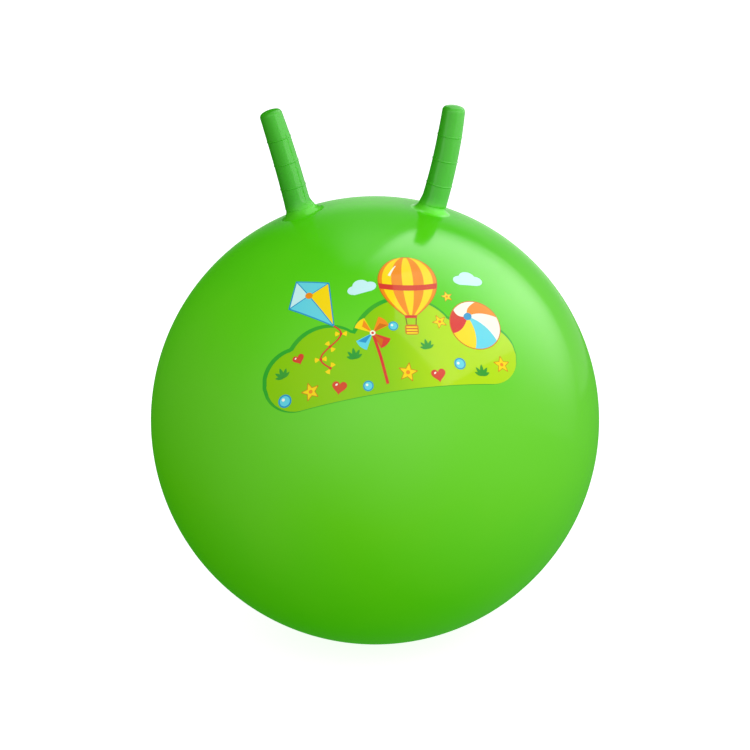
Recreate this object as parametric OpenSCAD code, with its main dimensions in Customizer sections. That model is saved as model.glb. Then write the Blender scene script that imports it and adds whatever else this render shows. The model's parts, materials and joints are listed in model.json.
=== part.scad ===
// Hopper ball: an inflated play ball with two ribbed grip horns, a valve seat with its
// pull-out plug at the back and a printed film on the front.
// Millimetres. +Z is up, the front faces -Y, the horns lie in the XZ plane and the
// ball rests on the patch that its own weight presses flat, at z = 0.

/* [Ball] */
// Outside diameter of the inflated ball
ball_d = 450; // [380:5:650]
// Wall of the stretched skin
skin_t = 0.7; // [0.5:0.1:1.5]
// Diameter of the patch that is pressed flat on the ground
foot_d = 48; // [30:1:70]

/* [Horns] */
// Angle at the ball's centre from its top to the root of a horn
horn_root_angle = 16.8; // [14:0.1:25]
// Lean of a horn's axis away from upright
horn_lean = 13.6; // [8:0.1:22]
// Length of a horn from the skin to its tip, along its axis
horn_length = 106; // [90:1:140]
// Diameter of a horn at its root
horn_root_d = 25.8; // [22:0.1:30]
// Diameter of a horn at its topmost grip ring
horn_top_d = 23.8; // [20:0.1:28]
// Diameter of a horn where its end begins to round
horn_tip_d = 22.4; // [18:0.1:26]
// Wall of a horn's hollow grip
horn_wall = 2.6; // [1.5:0.1:4]
// Thickness of the closed end of a horn
horn_end_t = 4; // [2:0.5:8]
// Radius of the rounded edge of a horn's end
horn_edge_r = 5; // [3:0.5:8]
// Radius of the shallow dome on a horn's end
horn_dome_r = 26; // [18:1:60]

/* [Grip rings] */
// Number of grip rings on a horn
ring_count = 3; // [1:1:4]
// Distance of the lowest ring from the skin, along the horn
ring_first = 27; // [15:1:32]
// Distance from ring to ring
ring_pitch = 24.6; // [8:0.1:28]
// Width of a ring's bead
ring_w = 1.6; // [1:0.1:3]
// Height of a ring's bead above the grip
ring_h = 0.5; // [0.3:0.1:1]

/* [Root pads] */
// Diameter of the thick pad that a horn grows from
pad_d = 56; // [46:1:70]
// Thickness of the pad
pad_t = 1.8; // [1:0.1:3]
// Radius of the fillet between pad and grip
root_fillet_r = 6.5; // [3:0.5:8]
// Height of the fine ledge at the foot of the grip
ledge_z = 6; // [4:0.5:8]
// Depth of the ledge
ledge_w = 0.4; // [0.2:0.1:0.8]

/* [Valve seat] */
// Height of the valve above the ball's equator, as an angle at its centre
valve_angle = 30; // [10:1:45]
// Diameter of the seat's flange
seat_d = 32; // [28:1:44]
// Thickness of the flange
seat_t = 2.4; // [1.5:0.1:4]
// Diameter of the boss under the flange
boss_d = 19; // [17:0.5:24]
// Depth of the boss under the ball's surface
boss_depth = 16; // [12:0.5:24]
// Radius of the fillet between flange and boss
boss_fillet_r = 2.5; // [1:0.5:4]
// Diameter of the recess for the plug's head
recess_d = 14.6; // [13:0.1:16]
// Depth of the recess under the ball's surface
recess_depth = 2.6; // [2:0.1:4]
// Diameter of the bore for the plug's shank
bore_d = 6.2; // [4:0.1:8]
// Outside diameter of the raised lip round the recess
lip_d = 19; // [18:0.5:24]
// Height of the lip above the ball's surface
lip_h = 0.9; // [0.5:0.1:2]

/* [Valve plug] */
// Diameter of the plug's head
head_d = 14; // [11:0.1:14.2]
// Thickness of the plug's head
head_t = 2.8; // [2:0.1:4]
// Rounding of the head's upper edge
head_edge_r = 0.8; // [0.3:0.1:1]
// Width of the two lifting notches under the head's rim
notch_w = 4; // [2:0.5:6]
// Height of a lifting notch
notch_h = 1; // [0.6:0.1:1.2]
// Depth of a lifting notch into the head
notch_depth = 1.6; // [1:0.1:2.4]
// Length of the shank under the head
shank_length = 18; // [14:0.5:26]
// Diameter of the shank between its sealing ribs
core_d = 5.2; // [3.4:0.1:7.4]
// Number of sealing ribs on the shank
rib_count = 3; // [1:1:4]
// Distance from rib to rib
rib_pitch = 3.2; // [2:0.1:4]
// Distance of the first rib from the head
rib_first = 3; // [2:0.1:4]
// Width of a rib
rib_w = 1.2; // [0.8:0.1:1.8]
// Length of the tapered nose
nose_length = 4; // [2:0.5:6]
// Diameter of the nose's end
nose_d = 3.4; // [2:0.1:3.4]

/* [Printed film] */
// Height of the film's middle above the ball's equator, as an angle at its centre
film_angle = 36; // [25:1:45]
// Turn of the film's middle round the ball, from the front
film_turn = 11; // [-20:1:20]
// Turn of the film in its own surface
film_tilt = 4; // [-10:1:10]
// Width of the film
film_w = 240; // [180:5:280]
// Height of the film
film_h = 92; // [70:2:120]
// Thickness of the film
film_t = 0.15; // [0.1:0.05:0.3]

/* [Fits] */
// Gap all round between a welded-in pad or seat and the skin
weld_gap = 0.05; // [0.02:0.01:0.1]
// Radial clearance of the plug's ribs in the bore
bore_clearance = 0.05; // [0.02:0.01:0.1]
// Gap between the plug's head and the floor of its recess
head_gap = 0.1; // [0.05:0.01:0.2]
// Layer of glue between the film and the skin
film_gap = 0.08; // [0.05:0.01:0.15]

/* [Hidden] */

skin_green = [0.36, 0.80, 0.16];
horn_green = [0.20, 0.66, 0.13];
seat_green = [0.24, 0.70, 0.15];
plug_white = [0.93, 0.94, 0.91];
film_lime = [0.60, 0.85, 0.05];

ball_fn = 160;
round_fn = 96;
small_fn = 48;

ball_r = ball_d / 2;
foot_r = foot_d / 2;
// Distance that a cut runs past what it cuts
overrun = foot_r;
// The ball's centre stands this high, because the foot is pressed flat
centre_z = sqrt(ball_r * ball_r - foot_r * foot_r);

root_r = horn_root_d / 2;
top_r = horn_top_d / 2;
tip_r = horn_tip_d / 2;
pad_r = pad_d / 2;
ring_top_z = ring_first + (ring_count - 1) * ring_pitch;
// The grip and its hollow start under the pad, and the inside of the ball cuts them off
grip_depth = 3 * pad_t;
hollow_depth = 4 * pad_t;

// The dome and the rounded edge of a horn's end touch without a kink, so the distance
// between their centres is the difference of their radii
edge_x = tip_r - horn_edge_r;
dome_z = horn_length - horn_dome_r;
edge_z = dome_z + sqrt((horn_dome_r - horn_edge_r) ^ 2 - edge_x ^ 2);

// The fillet touches the ball and the foot of the grip
grip_foot_r = root_r - ledge_w;
fillet_x = grip_foot_r + root_fillet_r;
fillet_z = sqrt((ball_r + root_fillet_r) ^ 2 - fillet_x ^ 2);
fillet_touch_share = ball_r / (ball_r + root_fillet_r);

// A ring's bead is part of a circle that is set back into the grip
ring_r = (ring_h * ring_h + ring_w * ring_w / 4) / (2 * ring_h);

bore_r = bore_d / 2;
rib_r = bore_r - bore_clearance;
core_r = core_d / 2;
head_r = head_d / 2;
edge_start = head_r - head_edge_r;
head_floor = ball_r - recess_depth + head_gap;

// The film's outline: a bar with round ends, and three humps of unlike size on it.
// Each hump has its place and radius as shares of the film's width and height
bar_r_share = 0.33;
hump_shares = [[-0.25, 0.40, 0.42], [0.06, 0.44, 0.56], [0.32, 0.39, 0.38]];

// Moves the ball's centre to its height above the ground
module on_ball() {
    translate([0, 0, centre_z]) children();
}

// Radius of a horn's grip at a height above the skin, between the rings' beads
function grip_r(z) = lookup(z, [[ledge_z, root_r], [ring_top_z, top_r], [edge_z, tip_r]]);

// Right-hand horn: its pad and fillet stand square to the skin, its grip leans less
module toward_horn() {
    rotate([0, horn_root_angle, 0]) children();
}

module along_grip() {
    translate(ball_r * [sin(horn_root_angle), 0, cos(horn_root_angle)])
        rotate([0, horn_lean, 0]) children();
}

// Turns the way outwards to where the valve sits, at the back
module toward_valve() {
    rotate([valve_angle - 90, 0, 0]) children();
}

module toward_film() {
    rotate([0, 0, film_turn]) rotate([90 - film_angle, 0, 0]) rotate([0, 0, film_tilt])
        children();
}

// A ball that its own weight presses flat at the given height under its centre
module flattened(r, flat_z) {
    difference() {
        sphere(r = r, $fn = ball_fn);
        translate([0, 0, -flat_z - ball_d])
            cylinder(r = ball_r, h = ball_d, $fn = round_fn);
    }
}

module ball_skin() color(skin_green) on_ball() difference() {
    flattened(ball_r, centre_z);
    flattened(ball_r - skin_t, centre_z - skin_t);
    for (side = [0, 1]) mirror([side, 0, 0]) toward_horn()
        cylinder(r = pad_r + weld_gap, h = ball_d, $fn = round_fn);
    toward_valve() cylinder(d = seat_d + 2 * weld_gap, h = ball_d, $fn = round_fn);
}

// Outline of half a grip: straight stretches between the stations, then the rounded end
module grip_outline() {
    polygon([
        [0, -grip_depth], [grip_foot_r, -grip_depth], [grip_foot_r, ledge_z], [root_r, ledge_z],
        [top_r, ring_top_z], [tip_r, edge_z], [edge_x, edge_z], [0, dome_z]
    ]);
    translate([edge_x, edge_z]) circle(r = horn_edge_r, $fn = small_fn);
    intersection() {
        translate([0, dome_z]) circle(r = horn_dome_r, $fn = round_fn);
        // The wedge from the dome's centre to where the dome meets the rounded edge
        polygon([
            [0, dome_z], [2 * edge_x, 2 * edge_z - dome_z], [0, 2 * edge_z - dome_z]
        ]);
    }
}

module grip_ring(z) {
    translate([grip_r(z) + ring_h - ring_r, z]) circle(r = ring_r, $fn = small_fn);
}

module grip() {
    rotate_extrude($fn = round_fn) {
        grip_outline();
        for (i = [0 : ring_count - 1]) grip_ring(ring_first + i * ring_pitch);
    }
}

module grip_hollow() {
    translate([0, 0, -hollow_depth]) cylinder(
        r1 = grip_foot_r - horn_wall, r2 = tip_r - horn_wall,
        h = horn_length - horn_end_t + hollow_depth, $fn = round_fn
    );
}

// The pad is a piece of the ball's own surface, only thicker, with the fillet on it
module pad_and_fillet() {
    intersection() {
        sphere(r = ball_r, $fn = ball_fn);
        cylinder(r = pad_r, h = ball_d, $fn = round_fn);
    }
    rotate_extrude($fn = round_fn) difference() {
        polygon([
            [0, ball_r - pad_t], [fillet_x, fillet_z] * fillet_touch_share,
            [fillet_x, fillet_z], [0, fillet_z]
        ]);
        translate([fillet_x, fillet_z]) circle(r = root_fillet_r, $fn = round_fn);
    }
}

module horn() {
    difference() {
        union() {
            toward_horn() pad_and_fillet();
            along_grip() grip();
        }
        sphere(r = ball_r - pad_t, $fn = ball_fn);
        along_grip() grip_hollow();
    }
}

module horn_left() color(horn_green) on_ball() mirror([1, 0, 0]) horn();

module horn_right() color(horn_green) on_ball() horn();

// Flange flush with the skin, boss under it, and a lip round the recess
module valve_seat() color(seat_green) on_ball() toward_valve() difference() {
    union() {
        difference() {
            intersection() {
                sphere(r = ball_r, $fn = ball_fn);
                cylinder(d = seat_d, h = ball_d, $fn = round_fn);
            }
            sphere(r = ball_r - seat_t, $fn = ball_fn);
        }
        translate([0, 0, ball_r - boss_depth])
            cylinder(d = boss_d, h = boss_depth - seat_t / 2, $fn = round_fn);
        translate([0, 0, ball_r - seat_t / 2])
            cylinder(d = lip_d, h = lip_h + seat_t / 2, $fn = round_fn);
        boss_fillet();
    }
    translate([0, 0, ball_r - recess_depth])
        cylinder(d = recess_d, h = recess_depth + overrun, $fn = round_fn);
    translate([0, 0, ball_r - boss_depth - overrun])
        cylinder(d = bore_d, h = boss_depth + 2 * overrun, $fn = round_fn);
}

// Fills the corner between the boss and the underside of the flange
module boss_fillet() {
    corner_z = sqrt((ball_r - seat_t) ^ 2 - (boss_d / 2 + boss_fillet_r) ^ 2);
    translate([0, 0, corner_z - boss_fillet_r]) rotate_extrude($fn = round_fn) difference() {
        square([boss_d / 2 + boss_fillet_r, boss_fillet_r + seat_t / 2]);
        translate([boss_d / 2 + boss_fillet_r, 0]) circle(r = boss_fillet_r, $fn = small_fn);
    }
}

// A sealing rib at a height: square above, where it grips, and tapered below
function rib_points(z) = [
    [core_r, z + rib_w / 2], [rib_r, z + rib_w / 2], [rib_r, z], [core_r, z - rib_w / 2]
];

// Outline of half a plug, with z = 0 at the underside of its head
module plug_outline() {
    polygon([
        [0, head_t], [edge_start, head_t], [edge_start, head_t - head_edge_r],
        [head_r, head_t - head_edge_r], [head_r, 0], [core_r, 0],
        for (i = [0 : rib_count - 1]) each rib_points(-rib_first - i * rib_pitch),
        [core_r, nose_length - shank_length], [nose_d / 2, -shank_length], [0, -shank_length]
    ]);
}

// The turned body, with a ring of round section that makes its soft upper rim
module turned_plug() {
    rotate_extrude($fn = round_fn) plug_outline();
    rotate_extrude($fn = round_fn) translate([edge_start, head_t - head_edge_r])
        circle(r = head_edge_r, $fn = small_fn);
}

module valve_plug() color(plug_white) on_ball() toward_valve()
    translate([0, 0, head_floor]) difference() {
        turned_plug();
        // Notches for the fingernails, one at each side under the rim
        for (side = [0, 1]) mirror([side, 0, 0])
            translate([head_r - notch_depth, -notch_w / 2, (head_t - notch_h) / 2])
                cube([notch_depth + overrun, notch_w, notch_h]);
    }

module film_outline() {
    bar_r = bar_r_share * film_h;
    bar_y = bar_r - film_h / 2;
    for (side = [-1, 1]) translate([side * (film_w / 2 - bar_r), bar_y])
        circle(r = bar_r, $fn = round_fn);
    translate([bar_r - film_w / 2, -film_h / 2]) square([film_w - 2 * bar_r, 2 * bar_r]);
    intersection() {
        translate([-film_w / 2, -film_h / 2]) square([film_w, film_h]);
        for (h = hump_shares)
            translate([h[0] * film_w, h[1] * film_h - film_h / 2])
                circle(r = h[2] * film_h, $fn = round_fn);
    }
}

// The film lies on the skin and takes its curve
module print_film() color(film_lime) on_ball() intersection() {
    difference() {
        sphere(r = ball_r + film_gap + film_t, $fn = ball_fn);
        sphere(r = ball_r + film_gap, $fn = ball_fn);
    }
    toward_film() linear_extrude(height = ball_d) film_outline();
}

ball_skin();
horn_left();
horn_right();
valve_seat();
valve_plug();
print_film();
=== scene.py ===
# %% [markdown]
# # A hopper ball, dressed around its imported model
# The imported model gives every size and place. It is loaded first and never moved. The visual
# pieces are built in the same frame, in metres: z = 0 is the ground, the printed front faces
# -Y, the valve is at the back, and the two horns lie in the XZ plane.

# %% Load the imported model
import json
from math import cos, pi, radians, sin, sqrt

import bpy
import numpy as np
from mathutils import Matrix, Quaternion, Vector
from mathutils.geometry import delaunay_2d_cdt

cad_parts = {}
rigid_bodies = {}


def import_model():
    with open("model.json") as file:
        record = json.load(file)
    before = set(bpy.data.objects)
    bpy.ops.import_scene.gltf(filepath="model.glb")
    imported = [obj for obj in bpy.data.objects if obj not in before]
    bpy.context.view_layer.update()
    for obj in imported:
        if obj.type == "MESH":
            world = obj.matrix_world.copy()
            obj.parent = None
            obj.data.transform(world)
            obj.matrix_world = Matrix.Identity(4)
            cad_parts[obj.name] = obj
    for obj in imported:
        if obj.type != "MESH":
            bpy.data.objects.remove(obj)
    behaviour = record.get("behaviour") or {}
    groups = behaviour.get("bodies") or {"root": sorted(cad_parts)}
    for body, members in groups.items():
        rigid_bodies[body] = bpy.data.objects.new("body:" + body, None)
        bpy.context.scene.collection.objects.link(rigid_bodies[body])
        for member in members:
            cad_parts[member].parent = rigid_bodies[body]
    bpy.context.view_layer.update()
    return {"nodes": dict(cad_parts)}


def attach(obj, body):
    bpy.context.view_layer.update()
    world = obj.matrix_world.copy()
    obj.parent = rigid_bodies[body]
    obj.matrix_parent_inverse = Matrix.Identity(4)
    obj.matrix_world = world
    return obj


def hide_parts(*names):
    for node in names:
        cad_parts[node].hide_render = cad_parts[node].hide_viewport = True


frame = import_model()
print("packed nodes:", ", ".join(sorted(frame["nodes"])))

# %% [markdown]
# ## The sizes that everything shares
# The ball is 450 mm across. Its own weight presses a patch of 48 mm flat, so its centre stands
# a little lower than its radius. Lengths in the cells below are in millimetres where they
# describe a part, because that is how such a part is drawn, and MM turns them into metres.

# %% Shared sizes
MM = 0.001
BALL_R = 225.0
FOOT_R = 24.0
SKIN_T = 0.7
CENTRE = Vector((0, 0, sqrt(BALL_R**2 - FOOT_R**2) * MM))
scene = bpy.context.scene
print("the ball's centre stands at", round(CENTRE.z, 4), "m")


def direction(azimuth, elevation):
    """A unit vector. Azimuth 0 is the front (-Y) and 90 the right (+X), in degrees."""
    a = radians(azimuth)
    e = radians(elevation)
    return Vector((sin(a) * cos(e), -cos(a) * cos(e), sin(e)))


def srgb(red, green, blue):
    """A colour picked on screen, 0 to 255, as the linear numbers that a shader wants."""
    shares = [channel / 255 for channel in (red, green, blue)]
    return [s / 12.92 if s <= 0.04045 else ((s + 0.055) / 1.055) ** 2.4 for s in shares]

# %% [markdown]
# ## Camera
# A long lens from some distance keeps the ball round, as product photographers like it. The
# camera looks down on the ball at 18 degrees. It is turned a little about its own view, and
# then tipped up, so that the ball sits low in the picture and leaves room for the horns.

# %% Camera
LENS = 114.3
SENSOR = 36
CAMERA_DISTANCE = 2.4
CAMERA_AZIMUTH = 5.7
CAMERA_ELEVATION = 17.9
CAMERA_ROLL = -2.57
CAMERA_TIP = 1.079
back = direction(CAMERA_AZIMUTH, CAMERA_ELEVATION)
camera_data = bpy.data.cameras.new("studio_camera")
camera_data.lens = LENS
camera_data.sensor_width = SENSOR
camera = bpy.data.objects.new("studio_camera", camera_data)
scene.collection.objects.link(camera)
camera.location = CENTRE + back * CAMERA_DISTANCE
camera.rotation_mode = "QUATERNION"
look = (-back).to_track_quat("-Z", "Y")
roll = Quaternion((0, 0, 1), radians(CAMERA_ROLL))
tip = Quaternion((1, 0, 0), radians(CAMERA_TIP))
camera.rotation_quaternion = look @ roll @ tip
scene.camera = camera
print("camera at", [round(c, 3) for c in camera.location])

# %% [markdown]
# ## Helpers for node trees
# Shaders and Geometry Nodes are both trees of nodes. A few small helpers keep the cells below
# short. The first adds a node and fills its inputs, and the others do the same for the nodes
# that are needed often: arithmetic, smooth ramps, noise and mixed colours.

# %% Helpers for node trees
def node(tree, kind, inputs=None, **settings):
    """Adds a node. An input is filled with a number or linked to another node's output."""
    made = tree.nodes.new(kind)
    for name, value in settings.items():
        setattr(made, name, value)
    for key, value in (inputs or {}).items():
        if isinstance(value, bpy.types.NodeSocket):
            tree.links.new(value, made.inputs[key])
        else:
            made.inputs[key].default_value = value
    return made


def maths(tree, operation, *values, clamp=False):
    """One step of arithmetic, and the output that holds its result."""
    inputs = dict(enumerate(values))
    return node(tree, "ShaderNodeMath", inputs, operation=operation, use_clamp=clamp).outputs[0]


def vector_maths(tree, operation, *values):
    """The same with vectors. A distance or a dot product comes out as a plain number."""
    made = node(tree, "ShaderNodeVectorMath", dict(enumerate(values)), operation=operation)
    return made.outputs["Value" if operation in ("DISTANCE", "DOT_PRODUCT") else "Vector"]


def parts_of(tree, vector):
    """The three outputs that hold a vector's X, Y and Z."""
    return node(tree, "ShaderNodeSeparateXYZ", {0: vector}).outputs


def vector_of(tree, x=0.0, y=0.0, z=0.0):
    """A vector from its X, Y and Z."""
    return node(tree, "ShaderNodeCombineXYZ", {0: x, 1: y, 2: z}).outputs[0]


def ramp(tree, value, low, high, to_low=0.0, to_high=1.0):
    """Goes smoothly from one value to another while the input goes from low to high."""
    inputs = {"Value": value, "From Min": low, "From Max": high}
    inputs.update({"To Min": to_low, "To Max": to_high})
    kind = "ShaderNodeMapRange"
    return node(tree, kind, inputs, interpolation_type="SMOOTHSTEP").outputs["Result"]


def noise(tree, place, scale, detail=2.0):
    """Cloudy noise from 0 to 1. The scale says how many clouds go into a metre."""
    inputs = {"Vector": place, "Scale": scale, "Detail": detail}
    return node(tree, "ShaderNodeTexNoise", inputs).outputs["Fac"]


def blend_colours(tree, share, first, second):
    """Mixes two colours, or two outputs that hold colours."""
    made = node(tree, "ShaderNodeMix", {"Factor": share}, data_type="RGBA")
    for key, value in ((6, first), (7, second)):
        if isinstance(value, bpy.types.NodeSocket):
            tree.links.new(value, made.inputs[key])
        else:
            made.inputs[key].default_value = (*value, 1)
    return made.outputs[2]

# %% [markdown]
# A material is a tree too. Every material below starts empty. The plastics end in the
# Principled BSDF. The floor and the lights end in a plain shader with a glow added to it.

# %% Starting and ending a material
def new_shader(name):
    """A material with nothing in it. Returns the material and its tree."""
    material = bpy.data.materials.new(name)
    material.use_nodes = True
    material.node_tree.nodes.clear()
    return material, material.node_tree


def end_as_plastic(tree, inputs):
    """Ends a shader with the Principled BSDF."""
    shader = node(tree, "ShaderNodeBsdfPrincipled", inputs)
    node(tree, "ShaderNodeOutputMaterial", {"Surface": shader.outputs[0]})


def end_with_glow(tree, base, strength):
    """Ends a shader with the sum of a base and a glow."""
    glow = node(tree, "ShaderNodeEmission", {"Strength": strength})
    both = node(tree, "ShaderNodeAddShader", {0: base.outputs[0], 1: glow.outputs[0]})
    node(tree, "ShaderNodeOutputMaterial", {"Surface": both.outputs[0]})

# %% [markdown]
# ## Studio
# The picture has a plain white ground and soft light. A real studio gets that from a white
# floor, large soft boxes and a dark room. Here the world does most of it, because a shader can
# ask what kind of ray looks at it. The camera sees it white. Diffuse rays find an even fill
# with a few broad lobes of light in it, and glossy rays find other lobes, which the ball
# mirrors as soft sheens. A lobe has a strength, a direction and a power, and a higher power
# makes it narrower. Cycles would also aim rays of its own at the world, and those have no
# kind, so that sampling is switched off.

# %% View and world
scene.view_settings.view_transform = "Standard"
FILL = 0.42
FILL_LOBES = [
    (1.03, direction(42, 36), 1.0), (0.13, direction(100, 8), 3.0), (0.14, direction(-40, 56), 8.0),
]
MIRRORED_LOBES = [
    (2.24, direction(-2, 33), 3.4), (1.45, direction(63, 7), 1.6),
    (0.4, direction(135, -14), 3.0), (0.54, direction(-53, -16), 5.8),
]


def room_light(tree, way, base, lobes):
    """Light that is strongest towards a few directions and fades softly away from them."""
    total = base
    for strength, towards, power in lobes:
        facing = maths(tree, "MAXIMUM", vector_maths(tree, "DOT_PRODUCT", way, towards), 0.0)
        facing = maths(tree, "POWER", facing, power)
        total = maths(tree, "MULTIPLY_ADD", facing, strength, total)
    return total


world = bpy.data.worlds.new("studio_room")
scene.world = world
world.use_nodes = True
world.cycles.sampling_method = "NONE"
room = world.node_tree
room.nodes.clear()
ray = node(room, "ShaderNodeLightPath").outputs
way = node(room, "ShaderNodeTexCoord").outputs["Generated"]
fill = room_light(room, way, FILL, FILL_LOBES)
mirrored = room_light(room, way, 0.0, MIRRORED_LOBES)
strength = maths(room, "MULTIPLY", ray["Is Diffuse Ray"], fill)
strength = maths(room, "MULTIPLY_ADD", ray["Is Glossy Ray"], mirrored, strength)
strength = maths(room, "MAXIMUM", ray["Is Camera Ray"], strength)
ground = node(room, "ShaderNodeBackground", {"Color": (1, 1, 1, 1), "Strength": strength})
node(room, "ShaderNodeOutputWorld", {"Surface": ground.outputs[0]})
print("lobes of light:", len(FILL_LOBES), "for the fill and", len(MIRRORED_LOBES), "for the gloss")

# %% [markdown]
# The floor glows a little, as an underlit table does, so that it stays white and keeps only a
# faint shadow where the ball touches it. The ball neither mirrors it nor gets its light.

# %% Floor
FLOOR_SIDE = 24.0
FLOOR_GREY = 0.5
FLOOR_GLOW = 0.86
half = FLOOR_SIDE / 2
floor_mesh = bpy.data.meshes.new("studio_floor")
corners = [(-half, -half, 0), (half, -half, 0), (half, half, 0), (-half, half, 0)]
floor_mesh.from_pydata(corners, [], [(0, 1, 2, 3)])
floor = bpy.data.objects.new("studio_floor", floor_mesh)
scene.collection.objects.link(floor)
paper, tree = new_shader("floor_paper")
matt = node(tree, "ShaderNodeBsdfDiffuse", {"Color": (FLOOR_GREY, FLOOR_GREY, FLOOR_GREY, 1)})
end_with_glow(tree, matt, FLOOR_GLOW)
floor_mesh.materials.append(paper)
floor.visible_glossy = False
floor.visible_diffuse = False
print("floor:", FLOOR_SIDE, "m across")

# %% [markdown]
# ## Soft boxes
# On a glossy ball the lights are seen as their mirror images, so each light is a card with a
# shape of its own. A card is given by the four directions of its corners as seen from the
# ball, and by its brightness, which each of its points stores as an attribute. Only gloss sees
# a card: it throws no shadow and no diffuse light, and rays pass through it, so that one card
# never hides another.

# %% Cards of light
CARD_DISTANCE = 12.0
CARD_STEPS = 24


def light_card(name, corners, glow):
    """A curved card of light that only gloss sees. Its corners are directions: outer low,
    outer high, inner high, inner low. Its glow depends on how far in and how far up."""
    low_out, high_out, high_in, low_in = [direction(*corner) for corner in corners]
    shares = [i / CARD_STEPS for i in range(CARD_STEPS + 1)]
    points, bright = [], []
    for inwards in shares:
        high = high_out.slerp(high_in, inwards)
        low = low_out.slerp(low_in, inwards)
        for up in shares:
            points.append(CENTRE + low.slerp(high, up) * CARD_DISTANCE)
            bright.append(max(0.0, glow(inwards, up)))
    row = len(shares)
    firsts = [i * row + j for i in range(CARD_STEPS) for j in range(CARD_STEPS)]
    faces = [(first, first + 1, first + row + 1, first + row) for first in firsts]
    mesh = bpy.data.meshes.new(name)
    mesh.from_pydata(points, [], faces)
    mesh.attributes.new("glow", "FLOAT", "POINT").data.foreach_set("value", bright)
    material, tree = new_shader(name)
    glow_here = node(tree, "ShaderNodeAttribute", attribute_name="glow").outputs["Fac"]
    end_with_glow(tree, node(tree, "ShaderNodeBsdfTransparent"), glow_here)
    mesh.materials.append(material)
    card = bpy.data.objects.new(name, mesh)
    scene.collection.objects.link(card)
    card.visible_camera = False
    card.visible_diffuse = False
    card.visible_shadow = False
    print(f"{name}: glow from {min(bright):.2f} to {max(bright):.2f}")
    return card


def soft_step(value, low, high):
    """Goes smoothly from 0 to 1 while the value goes from low to high."""
    share = min(1.0, max(0.0, (value - low) / (high - low)))
    return share * share * (3 - 2 * share)

# %% [markdown]
# Two cards light the whole ball. The large soft box at the upper right has a crisp outer edge
# and fades inwards, as light through a diffuser does. A white wall behind the ball draws the
# pale line along its top.

# %% Soft boxes
SOFTBOX_GLOW = 8.0
BEHIND_GLOW = 1.6


def softbox_glow(inwards, up):
    """Brightest near the outer edge, and weaker towards its lower end."""
    across = (0.3 + 0.7 * soft_step(inwards, 0.0, 0.22)) * (1 - soft_step(inwards, 0.32, 0.84))
    return SOFTBOX_GLOW * across * (0.06 + 0.94 * soft_step(up, 0.04, 0.58))


def behind_glow(inwards, up):
    """Bright low down and at its top, and weaker to the right."""
    ends = soft_step(inwards, 0.0, 0.28) * soft_step(1 - inwards, 0.0, 0.08)
    right = 1 - 0.55 * soft_step(inwards, 0.35, 0.62)
    low = 1 - soft_step(up, 0.35, 0.50) * soft_step(inwards, 0.40, 0.62)
    height = 0.8 + 0.2 * soft_step(up, 0.15, 0.28) - 0.5 * soft_step(up, 0.30, 0.45)
    height += 0.7 * soft_step(up, 0.55, 0.80)
    return BEHIND_GLOW * ends * right * low * height * soft_step(1 - up, 0.0, 0.10)


softbox = light_card("softbox_right", [(122, -16), (166, 38), (-41, 78), (52, 12)], softbox_glow)
behind = light_card("card_behind", [(-158, -8), (-118, 78), (130, 75), (130, -8)], behind_glow)

# %% [markdown]
# ## Soft PVC
# The ball and its horns are one kind of plastic: thin, stretched, slightly translucent PVC.
# Where it is stretched thin it is lighter and yellower, and where it is thick, round the horns,
# it is denser and deeper. The bands up the ball are partly that and partly painted light: the
# pale yellow band a little above the middle is painted where the ball is lit most, and the
# deeper green towards the foot and the top is painted shade. Its gloss is a thin clear coat,
# over a haze from the grain of the mould that only the horns have, and a weak sheen stands for
# the light that comes through at its rim. Everything is read from Object coordinates, so the
# colour runs on from the skin into the horns.

# %% Colours and sizes of the PVC
HORN_ROOT_ANGLE = 16.8
HORN_ROOT = CENTRE + direction(90, 90 - HORN_ROOT_ANGLE) * BALL_R * MM
# Colours of the wall at shares of the ball's height, from the foot to the top: partly its
# stretch and partly painted light, palest where the ball is lit most, painted shade low and high
STRETCH_AND_PAINTED_LIGHT = [(0.12, (0.074, 0.59, 0.002)), (0.44, (0.120, 0.61, 0.006)),
           (0.66, (0.136, 0.61, 0.020)), (0.82, (0.112, 0.62, 0.010)), (0.96, (0.084, 0.60, 0.006))]
DENSE_GREEN = (0.066, 0.53, 0.004)
GRIP_GREEN = (0.033, 0.360, 0.0055)
# Distances in metres: from a horn's root, where the wall is thin and where it is thick, and
# from the ball's centre, where the skin's colour ends and where the grip's begins
THIN_AT, THICK_AT = 0.045, 0.020
SKIN_ENDS, GRIP_BEGINS = 0.2262, 0.238
# Clouds to the metre: of the wall's thickness, of smudges, of the soft wall's waves, of grain
CLOUDS, SMUDGES, WAVES, GRAIN = 14.0, 38.0, 75.0, 1100.0
# How far the clouds move the colours up and down, in metres, and how dense a root gets
DRIFT = 0.012
DENSEST = 0.55
# Heights of the bump, in mm: of the grain, of the waves on the skin, and of the parting line,
# which rises from its edge to its crest
GRAIN_HEIGHT, WAVE_HEIGHT, LINE_HEIGHT = 0.02, 0.05, 0.12
LINE_EDGE, LINE_CREST = 0.0006, 0.0002
# The waves are drawn out along the grips, as streaks
DRAWN_OUT = (1.0, 1.0, 0.22)
# Gloss that is the same all over the skin and the horns
CLEAR_COAT = {"Coat Weight": 0.4, "Coat Roughness": 0.13}
SHEEN = {"Sheen Weight": 0.3, "Sheen Roughness": 0.5, "Sheen Tint": (0.05, 1.0, 0.0, 1.0)}
print("a horn's root is at", [round(c, 4) for c in HORN_ROOT])
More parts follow.
